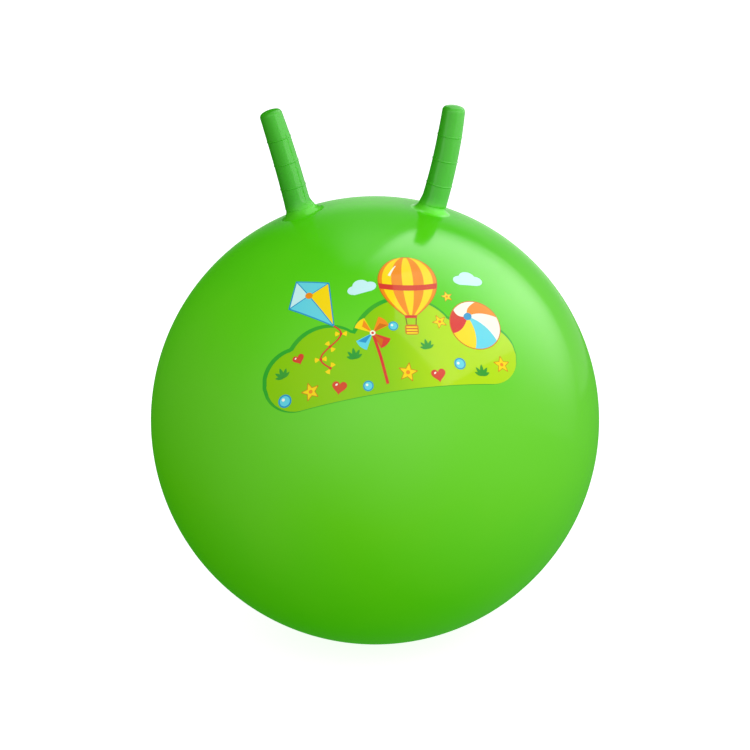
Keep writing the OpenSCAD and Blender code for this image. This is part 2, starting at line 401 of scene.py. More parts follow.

# %% [markdown]
# The shader's tree has three parts. Bands of colour run up the ball, for the wall's stretch and
# as painted light and shade, and clouds of noise move them up and down a little, so that they
# don't look painted on. Round the horns' roots and up the grips they give way to denser greens.
# The last part is the surface: smudges in the gloss, and a bump of fine grain, slow waves and
# the parting line.

# %% Green PVC
def green_pvc(name, haze, level, streaks):
    """A shader of green PVC, with the roughness and level of its haze, and the depth of the
    streaks along the grips."""
    material, tree = new_shader(name)
    place = node(tree, "ShaderNodeTexCoord").outputs["Object"]
    x, y, z = parts_of(tree, place)
    # The wall is stretched most a little above the middle, and least at the foot and the top.
    # The bands also paint light: palest where the ball is lit most, painted shade below and above
    drift = ramp(tree, noise(tree, place, CLOUDS, 3.0), 0.3, 0.7, -DRIFT, DRIFT)
    share = maths(tree, "DIVIDE", maths(tree, "ADD", z, drift), 2 * BALL_R * MM, clamp=True)
    bands_with_painted_light = node(tree, "ShaderNodeValToRGB", {0: share})
    stops = bands_with_painted_light.color_ramp.elements
    stops[0].position, stops[1].position = STRETCH_AND_PAINTED_LIGHT[0][0], STRETCH_AND_PAINTED_LIGHT[-1][0]
    for position, _ in STRETCH_AND_PAINTED_LIGHT[1:-1]:
        stops.new(position)
    for stop, (_, tone) in zip(stops, STRETCH_AND_PAINTED_LIGHT):
        stop.color = (*tone, 1)
    # Both roots are alike, so the distance is taken with X counted from the middle either way
    one_side = vector_of(tree, maths(tree, "ABSOLUTE", x), y, z)
    gap = vector_maths(tree, "DISTANCE", one_side, HORN_ROOT)
    near = ramp(tree, gap, THIN_AT, THICK_AT, 0.0, DENSEST)
    skin = blend_colours(tree, near, bands_with_painted_light.outputs["Color"], DENSE_GREEN)
    rise = vector_maths(tree, "DISTANCE", place, CENTRE)
    above = ramp(tree, rise, SKIN_ENDS, GRIP_BEGINS)
    colour = blend_colours(tree, above, skin, GRIP_GREEN)
    # Smudges change the gloss a little
    rough = ramp(tree, noise(tree, place, SMUDGES, 4.0), 0.3, 0.75, haze - 0.04, haze + 0.05)
    # Fine grain, slow waves of the soft wall, and the thin line where the mould closed
    drawn = vector_maths(tree, "MULTIPLY", place, DRAWN_OUT)
    deep = ramp(tree, above, 0.0, 1.0, WAVE_HEIGHT, streaks)
    line = ramp(tree, maths(tree, "ABSOLUTE", y), LINE_EDGE, LINE_CREST, 0.0, LINE_HEIGHT)
    height = maths(tree, "MULTIPLY", noise(tree, place, GRAIN), GRAIN_HEIGHT)
    height = maths(tree, "MULTIPLY_ADD", noise(tree, drawn, WAVES, 1.5), deep, height)
    height = maths(tree, "ADD", height, line)
    bump = node(tree, "ShaderNodeBump", {"Height": height, "Distance": MM, "Strength": 1.0})
    end_as_plastic(tree, {
        "Base Color": colour, "Roughness": rough, "Normal": bump.outputs[0],
        "IOR": 1.5, "Specular IOR Level": level, "Coat Normal": bump.outputs[0],
        **CLEAR_COAT, **SHEEN,
    })
    return material


skin_pvc = green_pvc("skin_pvc", haze=0.52, level=0.0, streaks=WAVE_HEIGHT)
horn_pvc = green_pvc("horn_pvc", haze=0.40, level=0.12, streaks=0.5)
print("PVC shaders:", skin_pvc.name, horn_pvc.name)

# %% [markdown]
# ## Turned pieces
# The skin, the horns, the valve seat and the plug are all turned shapes: an outline that goes
# round an axis. Blender has a Screw modifier and a Spin tool for that. A tree of Geometry
# Nodes does the same and more, because it can also bend the piece: a soft horn isn't quite
# straight. The tree lays a grid of points, one column for each step round the axis, reads
# where each point belongs from the outline, and closes the seam and the poles by merging.

# %% Starting and ending a tree
def new_tree(name, sizes):
    """A Geometry Nodes tree with named inputs. Returns it and its inputs."""
    tree = bpy.data.node_groups.new(name, "GeometryNodeTree")
    face = tree.interface
    face.new_socket("Geometry", in_out="INPUT", socket_type="NodeSocketGeometry")
    for label, kind, value in sizes:
        socket = face.new_socket(label, in_out="INPUT", socket_type="NodeSocket" + kind)
        if value is not None:
            socket.default_value = value
    face.new_socket("Geometry", in_out="OUTPUT", socket_type="NodeSocketGeometry")
    return tree, tree.nodes.new("NodeGroupInput").outputs


def close_tree(tree, geometry, material):
    """Ends a tree: real faces instead of instances, and their material."""
    real = node(tree, "GeometryNodeRealizeInstances", {"Geometry": geometry})
    inputs = {"Geometry": real.outputs[0], "Material": material}
    finished = node(tree, "GeometryNodeSetMaterial", inputs)
    node(tree, "NodeGroupOutput", {0: finished.outputs[0]})


def moved_to(tree, geometry, place):
    """Moves every point of a geometry to a place that is worked out for it."""
    inputs = {"Geometry": geometry, "Position": place}
    return node(tree, "GeometryNodeSetPosition", inputs).outputs[0]


def turned_about(tree, vector, angle, axis):
    """A vector turned about the X, Y or Z axis."""
    inputs = {"Vector": vector, "Angle": angle}
    kind = "ShaderNodeVectorRotate"
    return node(tree, kind, inputs, rotation_type=axis + "_AXIS").outputs[0]

# %% [markdown]
# The turning tree works in three steps. The first reads, for each point of the grid, the
# radius and height of its place in the outline, and the angle of its column. The second flares
# the foot: it widens it on one side and sinks what it moves, so that what touched the ball
# still does. The third bows the axis of the piece sideways and turns the whole piece a little
# about its root, while the foot stays where it is.

# %% Steps of the turning tree
def read_outline(tree, outline, segments):
    """Lays the grid. Returns it, and each point's radius, height and angle round the axis."""
    count = node(tree, "GeometryNodeAttributeDomainSize", {0: outline}).outputs["Point Count"]
    columns = maths(tree, "ADD", segments, 1)
    grid = node(tree, "GeometryNodeMeshGrid", {"Vertices X": columns, "Vertices Y": count})
    index = node(tree, "GeometryNodeInputIndex").outputs[0]
    column = maths(tree, "FLOOR", maths(tree, "DIVIDE", maths(tree, "ADD", index, 0.5), count))
    row = maths(tree, "SUBTRACT", index, maths(tree, "MULTIPLY", column, count))
    place = node(tree, "GeometryNodeInputPosition").outputs[0]
    inputs = {"Geometry": outline, "Value": place, "Index": row}
    point = node(tree, "GeometryNodeSampleIndex", inputs, data_type="FLOAT_VECTOR").outputs[0]
    radius, _, height = parts_of(tree, point)
    angle = maths(tree, "MULTIPLY", maths(tree, "DIVIDE", column, segments), 2 * pi)
    return grid.outputs[0], radius, height, angle


def flared(tree, given, radius, height, angle):
    """Widens the foot towards one side, and keeps what touches the ball on the ball."""
    facing = maths(tree, "COSINE", maths(tree, "SUBTRACT", angle, given["Flare Angle"]))
    facing = maths(tree, "POWER", maths(tree, "MULTIPLY_ADD", facing, 0.5, 0.5), 2.0)
    fading = ramp(tree, height, 0.0, given["Flare Height"], 1.0, 0.0)
    wider = maths(tree, "MULTIPLY", maths(tree, "MULTIPLY", facing, fading), given["Flare"])
    wide = maths(tree, "ADD", radius, wider)
    ball_square = maths(tree, "MULTIPLY", given["Ball"], given["Ball"])
    depths = []
    for r in (wide, radius):
        square = maths(tree, "SUBTRACT", ball_square, maths(tree, "MULTIPLY", r, r))
        depths.append(maths(tree, "SQRT", square))
    return wide, maths(tree, "ADD", height, maths(tree, "SUBTRACT", *depths))


def bowed(tree, given, radius, height, angle):
    """Bows the axis out along X, leans each ring with it, and turns the piece askew."""
    root = ramp(tree, height, 0.0, given["Root Height"])
    share = maths(tree, "DIVIDE", height, given["Length"], clamp=True)
    left = maths(tree, "SUBTRACT", 1.0, share)
    four = maths(tree, "MULTIPLY", given["Bow"], 4.0)
    offset = maths(tree, "MULTIPLY", four, maths(tree, "MULTIPLY", share, left))
    slope = maths(tree, "MULTIPLY", four, maths(tree, "SUBTRACT", left, share))
    slope = maths(tree, "DIVIDE", slope, given["Length"])
    lean = maths(tree, "MULTIPLY", maths(tree, "ARCTANGENT", slope), root)
    x = maths(tree, "MULTIPLY", radius, maths(tree, "COSINE", angle))
    y = maths(tree, "MULTIPLY", radius, maths(tree, "SINE", angle))
    spoke = turned_about(tree, vector_of(tree, x, y), lean, "Y")
    place = vector_maths(tree, "ADD", spoke, vector_of(tree, offset, 0.0, height))
    return turned_about(tree, place, maths(tree, "MULTIPLY", given["Turn"], root), "Y")

# %% [markdown]
# The whole tree joins the three steps, merges the seam and the poles, and shades the piece
# smoothly but for its sharp edges. Pieces that are straight and round leave the bow, the turn
# and the flare at zero.

# %% A tree for turned pieces
MERGE_GAP = 2e-6


def turning_tree():
    """Turns an outline, drawn in the XZ plane, round the Z axis."""
    tree, given = new_tree("turned_piece", [
        ("Segments", "Int", 96), ("Length", "Float", 1.0), ("Bow", "Float", 0.0),
        ("Turn", "Float", 0.0), ("Root Height", "Float", 0.005), ("Flare", "Float", 0.0),
        ("Flare Angle", "Float", 0.0), ("Flare Height", "Float", 0.01), ("Ball", "Float", 1.0),
        ("Sharp Angle", "Float", 0.6), ("Material", "Material", None),
    ])
    grid, radius, height, angle = read_outline(tree, given["Geometry"], given["Segments"])
    radius, height = flared(tree, given, radius, height, angle)
    turned = moved_to(tree, grid, bowed(tree, given, radius, height, angle))
    closed = node(tree, "GeometryNodeMergeByDistance", {0: turned, "Distance": MERGE_GAP})
    smooth = node(tree, "GeometryNodeSetShadeSmooth", {0: closed.outputs[0]})
    bend = node(tree, "GeometryNodeInputMeshEdgeAngle").outputs["Unsigned Angle"]
    sharp = maths(tree, "GREATER_THAN", bend, given["Sharp Angle"])
    crisp = node(tree, "GeometryNodeSetShadeSmooth",
                 {0: smooth.outputs[0], "Selection": sharp, "Shade Smooth": False},
                 domain="EDGE")
    close_tree(tree, crisp.outputs[0], given["Material"])
    return tree


turned_piece = turning_tree()
print("tree", turned_piece.name, "has", len(turned_piece.nodes), "nodes")

# %% [markdown]
# A tree is used as a modifier. Its inputs are set by their identifiers, the result is read
# back as a plain mesh, and the modifier goes. The signed volume of a closed mesh is positive
# only if its faces point outwards, so it is printed for each piece.

# %% Running a tree
SHARP_EDGE = radians(40)


def volume_of(mesh):
    """Signed volume of a closed mesh, in cubic centimetres."""
    mesh.calc_loop_triangles()
    points = np.empty(len(mesh.vertices) * 3)
    mesh.vertices.foreach_get("co", points)
    corners = np.empty(len(mesh.loop_triangles) * 3, int)
    mesh.loop_triangles.foreach_get("vertices", corners)
    a, b, c = points.reshape(-1, 3)[corners].reshape(-1, 3, 3).transpose(1, 0, 2)
    return float((a * np.cross(b, c)).sum() / 6 * 1e6)


def as_plain_mesh(piece):
    """Turns what an object's modifiers make of it into its own mesh, and drops them."""
    graph = bpy.context.evaluated_depsgraph_get()
    made = bpy.data.meshes.new_from_object(piece.evaluated_get(graph))
    piece.modifiers.clear()
    piece.data = made
    made.name = piece.name
    print(f"{piece.name}: {len(made.polygons)} faces, {volume_of(made):.3f} cm3")


def run_tree(name, mesh, tree, values):
    """Runs a tree over a mesh and returns the result as an object with a plain mesh."""
    piece = bpy.data.objects.new(name, mesh)
    scene.collection.objects.link(piece)
    modifier = piece.modifiers.new(tree.name, "NODES")
    modifier.node_group = tree
    for item in tree.interface.items_tree:
        if item.name in values:
            modifier[item.identifier] = values[item.name]
    as_plain_mesh(piece)
    return piece

# %% [markdown]
# An outline is a list of points, each a radius and a height in millimetres. It becomes a mesh
# of edges alone, in order, because the tree reads its points by their numbers. The turned
# piece is then moved to its place in its mesh, and its object stays at the origin.

# %% Outlines for turned pieces
STRAIGHT = {"Length": 1.0, "Root Height": 1.0}


def turn_outline(name, outline, segments, placement, material, bend=STRAIGHT):
    """A turned piece from its outline, a list of radius and height in mm."""
    mesh = bpy.data.meshes.new(name)
    points = [(r * MM, 0, z * MM) for r, z in outline]
    mesh.from_pydata(points, [(i, i + 1) for i in range(len(points) - 1)], [])
    values = {"Segments": segments, "Material": material, **bend}
    piece = run_tree(name, mesh, turned_piece, values)
    piece.data.transform(placement)
    return piece


def arc(x, z, radius, start, end, steps):
    """Points on an arc in an outline, by its centre and its angles in degrees."""
    angles = [radians(start + (end - start) * i / steps) for i in range(steps + 1)]
    return [(x + radius * cos(a), z + radius * sin(a)) for a in angles]


def sphere_height(radius, r):
    """Height of a sphere above its middle, at a distance from the upright through it."""
    return sqrt(radius**2 - r**2)

# %% [markdown]
# ## The skin
# The skin is a turned shell whose axis goes through the valve, because there it has its only
# round opening, and an opening on the axis comes out exactly round. The outline goes up the
# outside to the opening and back down the inside, 0.7 mm deeper.

# %% Skin
VALVE_ANGLE = 30.0
SEAT_R = 16.0
WELD_GAP = 0.05
OUTER_STEPS, INNER_STEPS, SKIN_SEGMENTS = 168, 84, 288
hole_r = SEAT_R + WELD_GAP
outer_edge = np.degrees(np.arccos(hole_r / BALL_R))
inner_edge = np.degrees(np.arccos(hole_r / (BALL_R - SKIN_T)))
skin_outline = arc(0, 0, BALL_R, -90, outer_edge, OUTER_STEPS)
skin_outline += arc(0, 0, BALL_R - SKIN_T, inner_edge, -90, INNER_STEPS)
skin_outline[0] = (0, -BALL_R)
skin_outline[-1] = (0, SKIN_T - BALL_R)
at_centre = Matrix.Translation(CENTRE)
to_valve = at_centre @ Matrix.Rotation(radians(VALVE_ANGLE - 90), 4, "X")
round_skin = turn_outline("skin", skin_outline, SKIN_SEGMENTS, to_valve, skin_pvc)

# %% [markdown]
# The ball's own weight presses its foot flat. A Boolean modifier would cut the thin skin open
# there, so a second small tree moves the points instead: no point of the outside may be lower
# than the ground, and none of the inside lower than the wall's thickness.

# %% Pressing the foot flat
def pressing_tree():
    """Presses what hangs under the ground flat, and keeps the wall's thickness."""
    tree, given = new_tree("pressed_flat", [
        ("Radius", "Float", 0.2), ("Wall", "Float", 0.001), ("Centre", "Vector", None),
        ("Softness", "Float", 0.0004), ("Material", "Material", None),
    ])
    place = node(tree, "GeometryNodeInputPosition").outputs[0]
    x, y, z = parts_of(tree, place)
    away = vector_maths(tree, "DISTANCE", place, given["Centre"])
    depth = maths(tree, "SUBTRACT", given["Radius"], away)
    lowest = maths(tree, "MINIMUM", maths(tree, "MAXIMUM", depth, 0.0), given["Wall"])
    height = maths(tree, "SMOOTH_MAX", z, lowest, given["Softness"])
    pressed = moved_to(tree, given["Geometry"], vector_of(tree, x, y, height))
    close_tree(tree, pressed, given["Material"])
    return tree


round_mesh = round_skin.data
bpy.data.objects.remove(round_skin)
ball_skin = run_tree("skin", round_mesh, pressing_tree(), {
    "Radius": BALL_R * MM, "Wall": SKIN_T * MM, "Centre": tuple(CENTRE), "Material": skin_pvc,
})
print("lowest point", min(v.co.z for v in ball_skin.data.vertices))

# %% [markdown]
# ## The horns
# Each horn is a hollow grip, closed at its tip, that grows out of a thick pad under the skin.
# Its outline starts at the end of the hollow, goes down the hollow to the pad, round the pad,
# and up the outside: a fillet that leaves the ball without a kink, a fine ledge at the foot of
# the grip, three thin raised rings for the fingers, and a rounded end.

# %% Sizes of the horns
HORN_LENGTH = 106.0
HORN_WALL = 2.6
HORN_END_T = 4.0
HOLLOW_TOP = 98.0
HOLLOW_STEPS = 8
PAD_R = 28.0
PAD_T = 1.8
PAD_UNDER_SKIN = 0.02
LEDGE_Z = 6.0
ROOT_R = 12.9
TOP_R = 11.9
TIP_R = 11.2
FOOT_GRIP_R = 12.5
FILLET_R = 6.5
RINGS = [27.0, 51.6, 76.2]
RING_W = 1.6
RING_H = 0.5
EDGE_R = 5.0
DOME_R = 26.0
dome_z = HORN_LENGTH - DOME_R
edge_x = TIP_R - EDGE_R
edge_z = dome_z + sqrt((DOME_R - EDGE_R) ** 2 - edge_x**2)
print("the grip's straight side ends at", round(edge_z, 2), "mm")

# %% [markdown]
# The first part of the outline is the inside: down the hollow, and out to the rim of the pad.
# Heights are counted from the ball's surface on the horn's own axis.

# %% Inside of a horn
def on_sphere(radius, r):
    """Height of the ball's surface, or one inside it, at a distance from the horn's axis."""
    return sphere_height(radius, r) - BALL_R


def inside_of_horn():
    """From the middle of the hollow's end down the hollow to the pad's inner face."""
    top_r = TIP_R - HORN_WALL
    foot_r = FOOT_GRIP_R - HORN_WALL
    end_z = HORN_LENGTH - HORN_END_T
    points = [(0, end_z), (top_r - 2, end_z), (top_r, end_z - 2)]
    for i in range(1, HOLLOW_STEPS):
        down = i / HOLLOW_STEPS
        points.append((top_r + (foot_r - top_r) * i / HOLLOW_STEPS, HOLLOW_TOP * (1 - down)))
    return points + [(r, on_sphere(BALL_R - PAD_T, r)) for r in (foot_r, 16, 22, PAD_R)]


print("points on a horn's inside:", len(inside_of_horn()))

# %% [markdown]
# The foot goes back over the pad, hidden just under the skin, and comes out beside the grip as
# a fillet. A Bevel modifier would round such an edge, but an arc that touches the sphere and
# the grip is exact: its centre is one fillet radius away from both.

# %% Foot of a horn
def foot_of_horn():
    """Over the pad, just under the skin, then up the fillet and past the fine ledge."""
    fillet_x = FOOT_GRIP_R + FILLET_R
    fillet_z = sphere_height(BALL_R + FILLET_R, fillet_x) - BALL_R
    touch = 180 + np.degrees(np.arctan2(fillet_z + BALL_R, fillet_x))
    toe = fillet_x * BALL_R / (BALL_R + FILLET_R)
    under_skin = BALL_R - SKIN_T - PAD_UNDER_SKIN
    points = [(r, on_sphere(under_skin, r)) for r in (PAD_R, 24, toe + 1.5)]
    points += [(toe + r, on_sphere(BALL_R - z, toe + r)) for r, z in ((1.5, 0.25), (0.9, 0.1))]
    points += arc(fillet_x, fillet_z, FILLET_R - 0.01, touch, 180, 14)
    points += [(FOOT_GRIP_R, LEDGE_Z - 0.35), (FOOT_GRIP_R + 0.08, LEDGE_Z - 0.1)]
    return points + [(ROOT_R - 0.12, LEDGE_Z + 0.05), (ROOT_R, LEDGE_Z + 0.35)]


print("points on its foot:", len(foot_of_horn()))

# %% [markdown]
# The grip tapers towards its tip. A ring is a low bead of eleven points, the same at each
# ring's height, and a few points are enough between the rings.

# %% Grip of a horn
def grip_radius(z):
    """Radius of the tapered grip at a height, between its rings."""
    return float(np.interp(z, [LEDGE_Z, RINGS[-1], edge_z], [ROOT_R, TOP_R, TIP_R]))


def ring_points(z):
    """A low round bead across the grip, with a soft foot on each side."""
    points = []
    for share in (-1.35, -1.0, -0.8, -0.55, -0.28, 0, 0.28, 0.55, 0.8, 1.0, 1.35):
        height = RING_H * max(0.0, cos(share * pi / 2)) ** 0.8 if abs(share) < 1 else 0.0
        across = z + share * RING_W / 2
        points.append((grip_radius(across) + height, across))
    return points


def grip_of_horn():
    """Up the grip with its rings, round its edge and over the tip."""
    stations = [LEDGE_Z + 2, *RINGS, edge_z - 1]
    points = []
    for here, following in zip(stations, stations[1:] + [None]):
        points += ring_points(here) if here in RINGS else [(grip_radius(here), here)]
        if following is not None:
            heights = [here + (following - here) * share for share in (0.2, 0.4, 0.6, 0.8)]
            points += [(grip_radius(z), z) for z in heights]
    meet = np.degrees(np.arctan2(edge_z - dome_z, edge_x))
    points += arc(edge_x, edge_z, EDGE_R, 0, meet, 14)
    return points + arc(0, dome_z, DOME_R, meet, 90, 8)[1:-1] + [(0, HORN_LENGTH)]


horn_outline = inside_of_horn() + foot_of_horn() + grip_of_horn()
print("points in a horn's outline:", len(horn_outline))

# %% [markdown]
# In the photograph the two soft horns don't stand quite alike, so each gets a lean and a bow
# of its own, within 2 to 3 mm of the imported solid, and a foot that swells a little further on
# one side, where the skin pulls at it.

# %% Horns
HORN_SEGMENTS = 128
BOW_ROOT = 6.0
FLARE_HEIGHT = 14.0
# Side, lean in degrees, bow and flare in mm, and the flare's direction in degrees
STANDS = {"horn_left": (-1, 13.5, -1.2, 8.0, -42), "horn_right": (1, 14.0, 2.3, 3.0, 222)}
horns = {}
for name, (side, lean, bow, flare, towards) in STANDS.items():
    stand = Matrix.Rotation(radians(side * HORN_ROOT_ANGLE), 4, "Y")
    on_skin = at_centre @ stand @ Matrix.Translation((0, 0, BALL_R * MM))
    grip = name + "_grip"
    horns[name] = turn_outline(grip, horn_outline, HORN_SEGMENTS, on_skin, horn_pvc, {
        "Length": HORN_LENGTH * MM, "Bow": side * bow * MM, "Root Height": BOW_ROOT * MM,
        "Turn": radians(side * (lean - HORN_ROOT_ANGLE)), "Ball": BALL_R * MM,
        "Flare": flare * MM, "Flare Angle": radians(towards),
        "Flare Height": FLARE_HEIGHT * MM,
    })

# %% [markdown]
# ## Light for the horns
# The horns are thicker and denser than the skin, and stand in the light of a lamp from the
# right: their right sides are light and their left sides dark. Light linking gives a lamp or
# a card to chosen pieces only, or to all but those. Each horn has a soft sun of its own, which
# gloss doesn't see.

# %% A sun for each horn
SUN_SIZE = 50
SUN_FROM = direction(62, 5)
SUNS = {"horn_left": 1.3, "horn_right": 1.7}


def shine_only_on(lamp, pieces, state="INCLUDE"):
    """Light linking: the lamp or card reaches only these pieces, or all but these."""
    receivers = bpy.data.collections.new(lamp.name + "_receivers")
    for piece in pieces:
        receivers.objects.link(piece)
    for entry in receivers.collection_objects:
        entry.light_linking.link_state = state
    lamp.light_linking.receiver_collection = receivers


for name, energy in SUNS.items():
    sun = bpy.data.lights.new(name + "_sun", "SUN")
    sun.energy = energy
    sun.angle = radians(SUN_SIZE)
    lamp = bpy.data.objects.new(name + "_sun", sun)
    scene.collection.objects.link(lamp)
    lamp.rotation_mode = "QUATERNION"
    lamp.rotation_quaternion = SUN_FROM.to_track_quat("Z", "Y")
    lamp.visible_glossy = False
    shine_only_on(lamp, [horns[name]])
print("suns:", ", ".join(SUNS))

# %% [markdown]
# The gloss of the horns comes from cards. A panel at the right puts the light band along both
# horns, a card above lights their left edges and tips, and a wall at the left fills the gloss
# of the right horn. The two cards of the ball would be too strong on such narrow pieces. So
# the soft box leaves out both horns, and the wall behind leaves out the left one.

# %% Cards for the horns
PANEL_GLOW = 3.0
TOP_GLOW = 2.6


def panel_glow(inwards, up):
    """Fades towards the back, and is weaker where it hangs low."""
    low = 0.35 + 0.65 * soft_step(up, 0.3, 0.5)
    front = 0.4 + 0.6 * soft_step(inwards, 0.1, 0.6)
    return PANEL_GLOW * low * front * soft_step(1 - inwards, 0.0, 0.12)


def wall_glow(inwards, up):
    """Even, and brighter towards its inner edge."""
    return (1.0 + 0.8 * soft_step(inwards, 0.6, 0.8)) * soft_step(1 - inwards, 0.0, 0.10)


def top_glow(inwards, up):
    """Brightest near its outer edge, and fades away inwards."""
    return TOP_GLOW * soft_step(inwards, 0.0, 0.10) * soft_step(1 - inwards, 0.0, 0.5)


panel = light_card("horn_panel", [(150, -45), (150, 30), (34, 30), (34, -45)], panel_glow)
wall = light_card("horn_wall", [(38, -45), (38, 30), (-62, 30), (-62, -45)], wall_glow)
top = light_card("horn_top", [(160, 8), (-170, 60), (-60, 72), (20, 35)], top_glow)
shine_only_on(panel, horns.values())
shine_only_on(top, horns.values())
shine_only_on(wall, [horns["horn_right"]])
shine_only_on(softbox, horns.values(), "EXCLUDE")
shine_only_on(behind, [horns["horn_left"]], "EXCLUDE")

# %% [markdown]
# ## Valve
# The valve is a thick insert that is welded into the back of the ball, and a white plug that
# is pressed into it. The seat is flush with the skin, has a raised lip round the recess of the
# plug's head, and a boss with the bore inside the ball. All its edges are slightly rounded,
# because moulded soft plastic has no sharp ones.

# %% Valve shaders
BLOTCHES = 160.0


def moulded(name, colour, stain, roughness, grain_size, grain_depth):
    """A shader of plain moulded plastic: fine grain, and grime or dust as a faint stain."""
    material, tree = new_shader(name)
    place = node(tree, "ShaderNodeTexCoord").outputs["Object"]
    blotch = noise(tree, place, BLOTCHES, 3.0)
    tone = blend_colours(tree, ramp(tree, blotch, 0.35, 0.75), colour, stain)
    rough = ramp(tree, blotch, 0.3, 0.7, roughness - 0.05, roughness + 0.08)
    grain = noise(tree, place, 1 / grain_size)
    inputs = {"Height": grain, "Distance": grain_depth, "Strength": 0.6}
    bump = node(tree, "ShaderNodeBump", inputs)
    end_as_plastic(tree, {"Base Color": tone, "Roughness": rough, "Normal": bump.outputs[0]})
    return material


seat_pvc = moulded("seat_pvc", (0.060, 0.42, 0.010), (0.075, 0.47, 0.014), 0.36, 0.0006, 0.00004)
plug_white = moulded("plug_white", (0.80, 0.82, 0.78), (0.74, 0.76, 0.70), 0.34, 0.0005, 0.00003)
print("valve shaders:", seat_pvc.name, plug_white.name)

# %% [markdown]
# The seat is turned about the same axis as the skin. Its outline starts at the inner end of
# the bore and comes back to it: out over the end of the boss, up the boss and out under the
# flange, then back over the flange and the lip, and down into the recess and the bore.

# %% Valve seat
LIP_R = 9.5
LIP_H = 0.9
LIP_ROUND = 0.35
LIP_FILLET = 0.6
RECESS_R = 7.3
RECESS_DEPTH = 2.6
BORE_R = 3.1
BORE_EASED = 0.25
BOSS_R = 9.5
BOSS_DEPTH = 16.0
BOSS_ROUND = 0.5
BOSS_FILLET = 2.5
SEAT_T = 2.4
SEAT_SEGMENTS = 128
RIM_OUT, RIM_IN = 0.12, 0.2
lip_top = BALL_R + LIP_H
recess_floor = BALL_R - RECESS_DEPTH
boss_end = BALL_R - BOSS_DEPTH
under = BALL_R - SEAT_T
fillet_x = BOSS_R + BOSS_FILLET
flange_z = sphere_height(under, fillet_x)
fillet_z = flange_z - BOSS_FILLET
# The boss from its end up to the flange, and the flange out to its rim
boss_edge = BOSS_R - BOSS_ROUND
seat_outline = [(BORE_R, boss_end), (BORE_R + 0.4, boss_end), (boss_edge, boss_end)]
seat_outline += arc(boss_edge, boss_end + BOSS_ROUND, BOSS_ROUND, -90, 0, 5)[1:]
seat_outline += [(BOSS_R, flange_z - 6), (BOSS_R, fillet_z)]
seat_outline += arc(fillet_x, fillet_z, BOSS_FILLET, 180, 92, 8)[1:]
seat_outline += [(SEAT_R - RIM_IN, sphere_height(under, SEAT_R - RIM_IN))]
seat_outline += [(SEAT_R, sphere_height(under, SEAT_R) + RIM_IN)]
seat_outline += [(SEAT_R, sphere_height(BALL_R, SEAT_R) - RIM_OUT)]
# Over the flange and the lip, and down into the recess and the bore
seat_outline += [(r, sphere_height(BALL_R, r)) for r in (SEAT_R - RIM_OUT, 14.5, 12.5, 10.8)]
foot_z = sphere_height(BALL_R, LIP_R) + LIP_FILLET
seat_outline += arc(LIP_R + LIP_FILLET, foot_z, LIP_FILLET, 262, 180, 6)
seat_outline += arc(LIP_R - LIP_ROUND, lip_top - LIP_ROUND, LIP_ROUND, 0, 90, 6)
seat_outline += arc(RECESS_R + LIP_ROUND, lip_top - LIP_ROUND, LIP_ROUND, 90, 180, 6)
seat_outline += [(RECESS_R, recess_floor + 0.3), (RECESS_R - 0.3, recess_floor)]
seat_outline += [(BORE_R + BORE_EASED, recess_floor), (BORE_R, recess_floor - BORE_EASED)]
seat_outline += [(BORE_R, recess_floor - 6), (BORE_R, boss_end)]
valve_seat = turn_outline("seat_turned", seat_outline, SEAT_SEGMENTS, to_valve, seat_pvc,
                          {**STRAIGHT, "Sharp Angle": 0.8})

# %% [markdown]
# The plug has a head with a soft rim, three sealing ribs on its shank and a tapered nose. It
# is drawn upright, with its heights counted from the ball's centre, as the seat's are.

# %% Plug
HEAD_R = 7.0
HEAD_T = 2.8
HEAD_ROUND = 0.8
HEAD_GAP = 0.1
SHANK = 18.0
CORE_R = 2.6
RIB_R = 3.05
RIB_W = 1.2
RIB_STEP = 3.2
TOP_RIB = -3.0
PLUG_SEGMENTS = 96
head_floor = recess_floor + HEAD_GAP
rib = RIB_W / 2
plug_outline = [(0, -SHANK), (1.45, -SHANK), (1.7, 0.25 - SHANK), (CORE_R, 4 - SHANK)]
for i in (2, 1, 0):
    z = TOP_RIB - RIB_STEP * i
    plug_outline += [(CORE_R, z - rib), (RIB_R - 0.05, z), (RIB_R, z + 0.08), (RIB_R, z + 0.52)]
    plug_outline += [(RIB_R - 0.08, z + rib), (CORE_R, z + rib)]
plug_outline += [(CORE_R, -0.3), (CORE_R + 0.3, 0), (HEAD_R - 0.25, 0), (HEAD_R, 0.25)]
plug_outline += arc(HEAD_R - HEAD_ROUND, HEAD_T - HEAD_ROUND, HEAD_ROUND, 0, 90, 8)
plug_outline += [(4.6, HEAD_T), (4.3, HEAD_T - 0.12), (2.0, HEAD_T - 0.2), (0, HEAD_T - 0.2)]
plug_outline = [(r, z + head_floor) for r, z in plug_outline]
plug = turn_outline("plug", plug_outline, PLUG_SEGMENTS, Matrix.Identity(4), plug_white,
                    {**STRAIGHT, "Sharp Angle": 0.7})

# %% [markdown]
# Two notches for the fingernails are cut out of the rim of the plug's head. They break the
# round shape, so they can't come from the outline. A Boolean modifier takes two small boxes
# away, and only then does the plug go to its place in the seat.

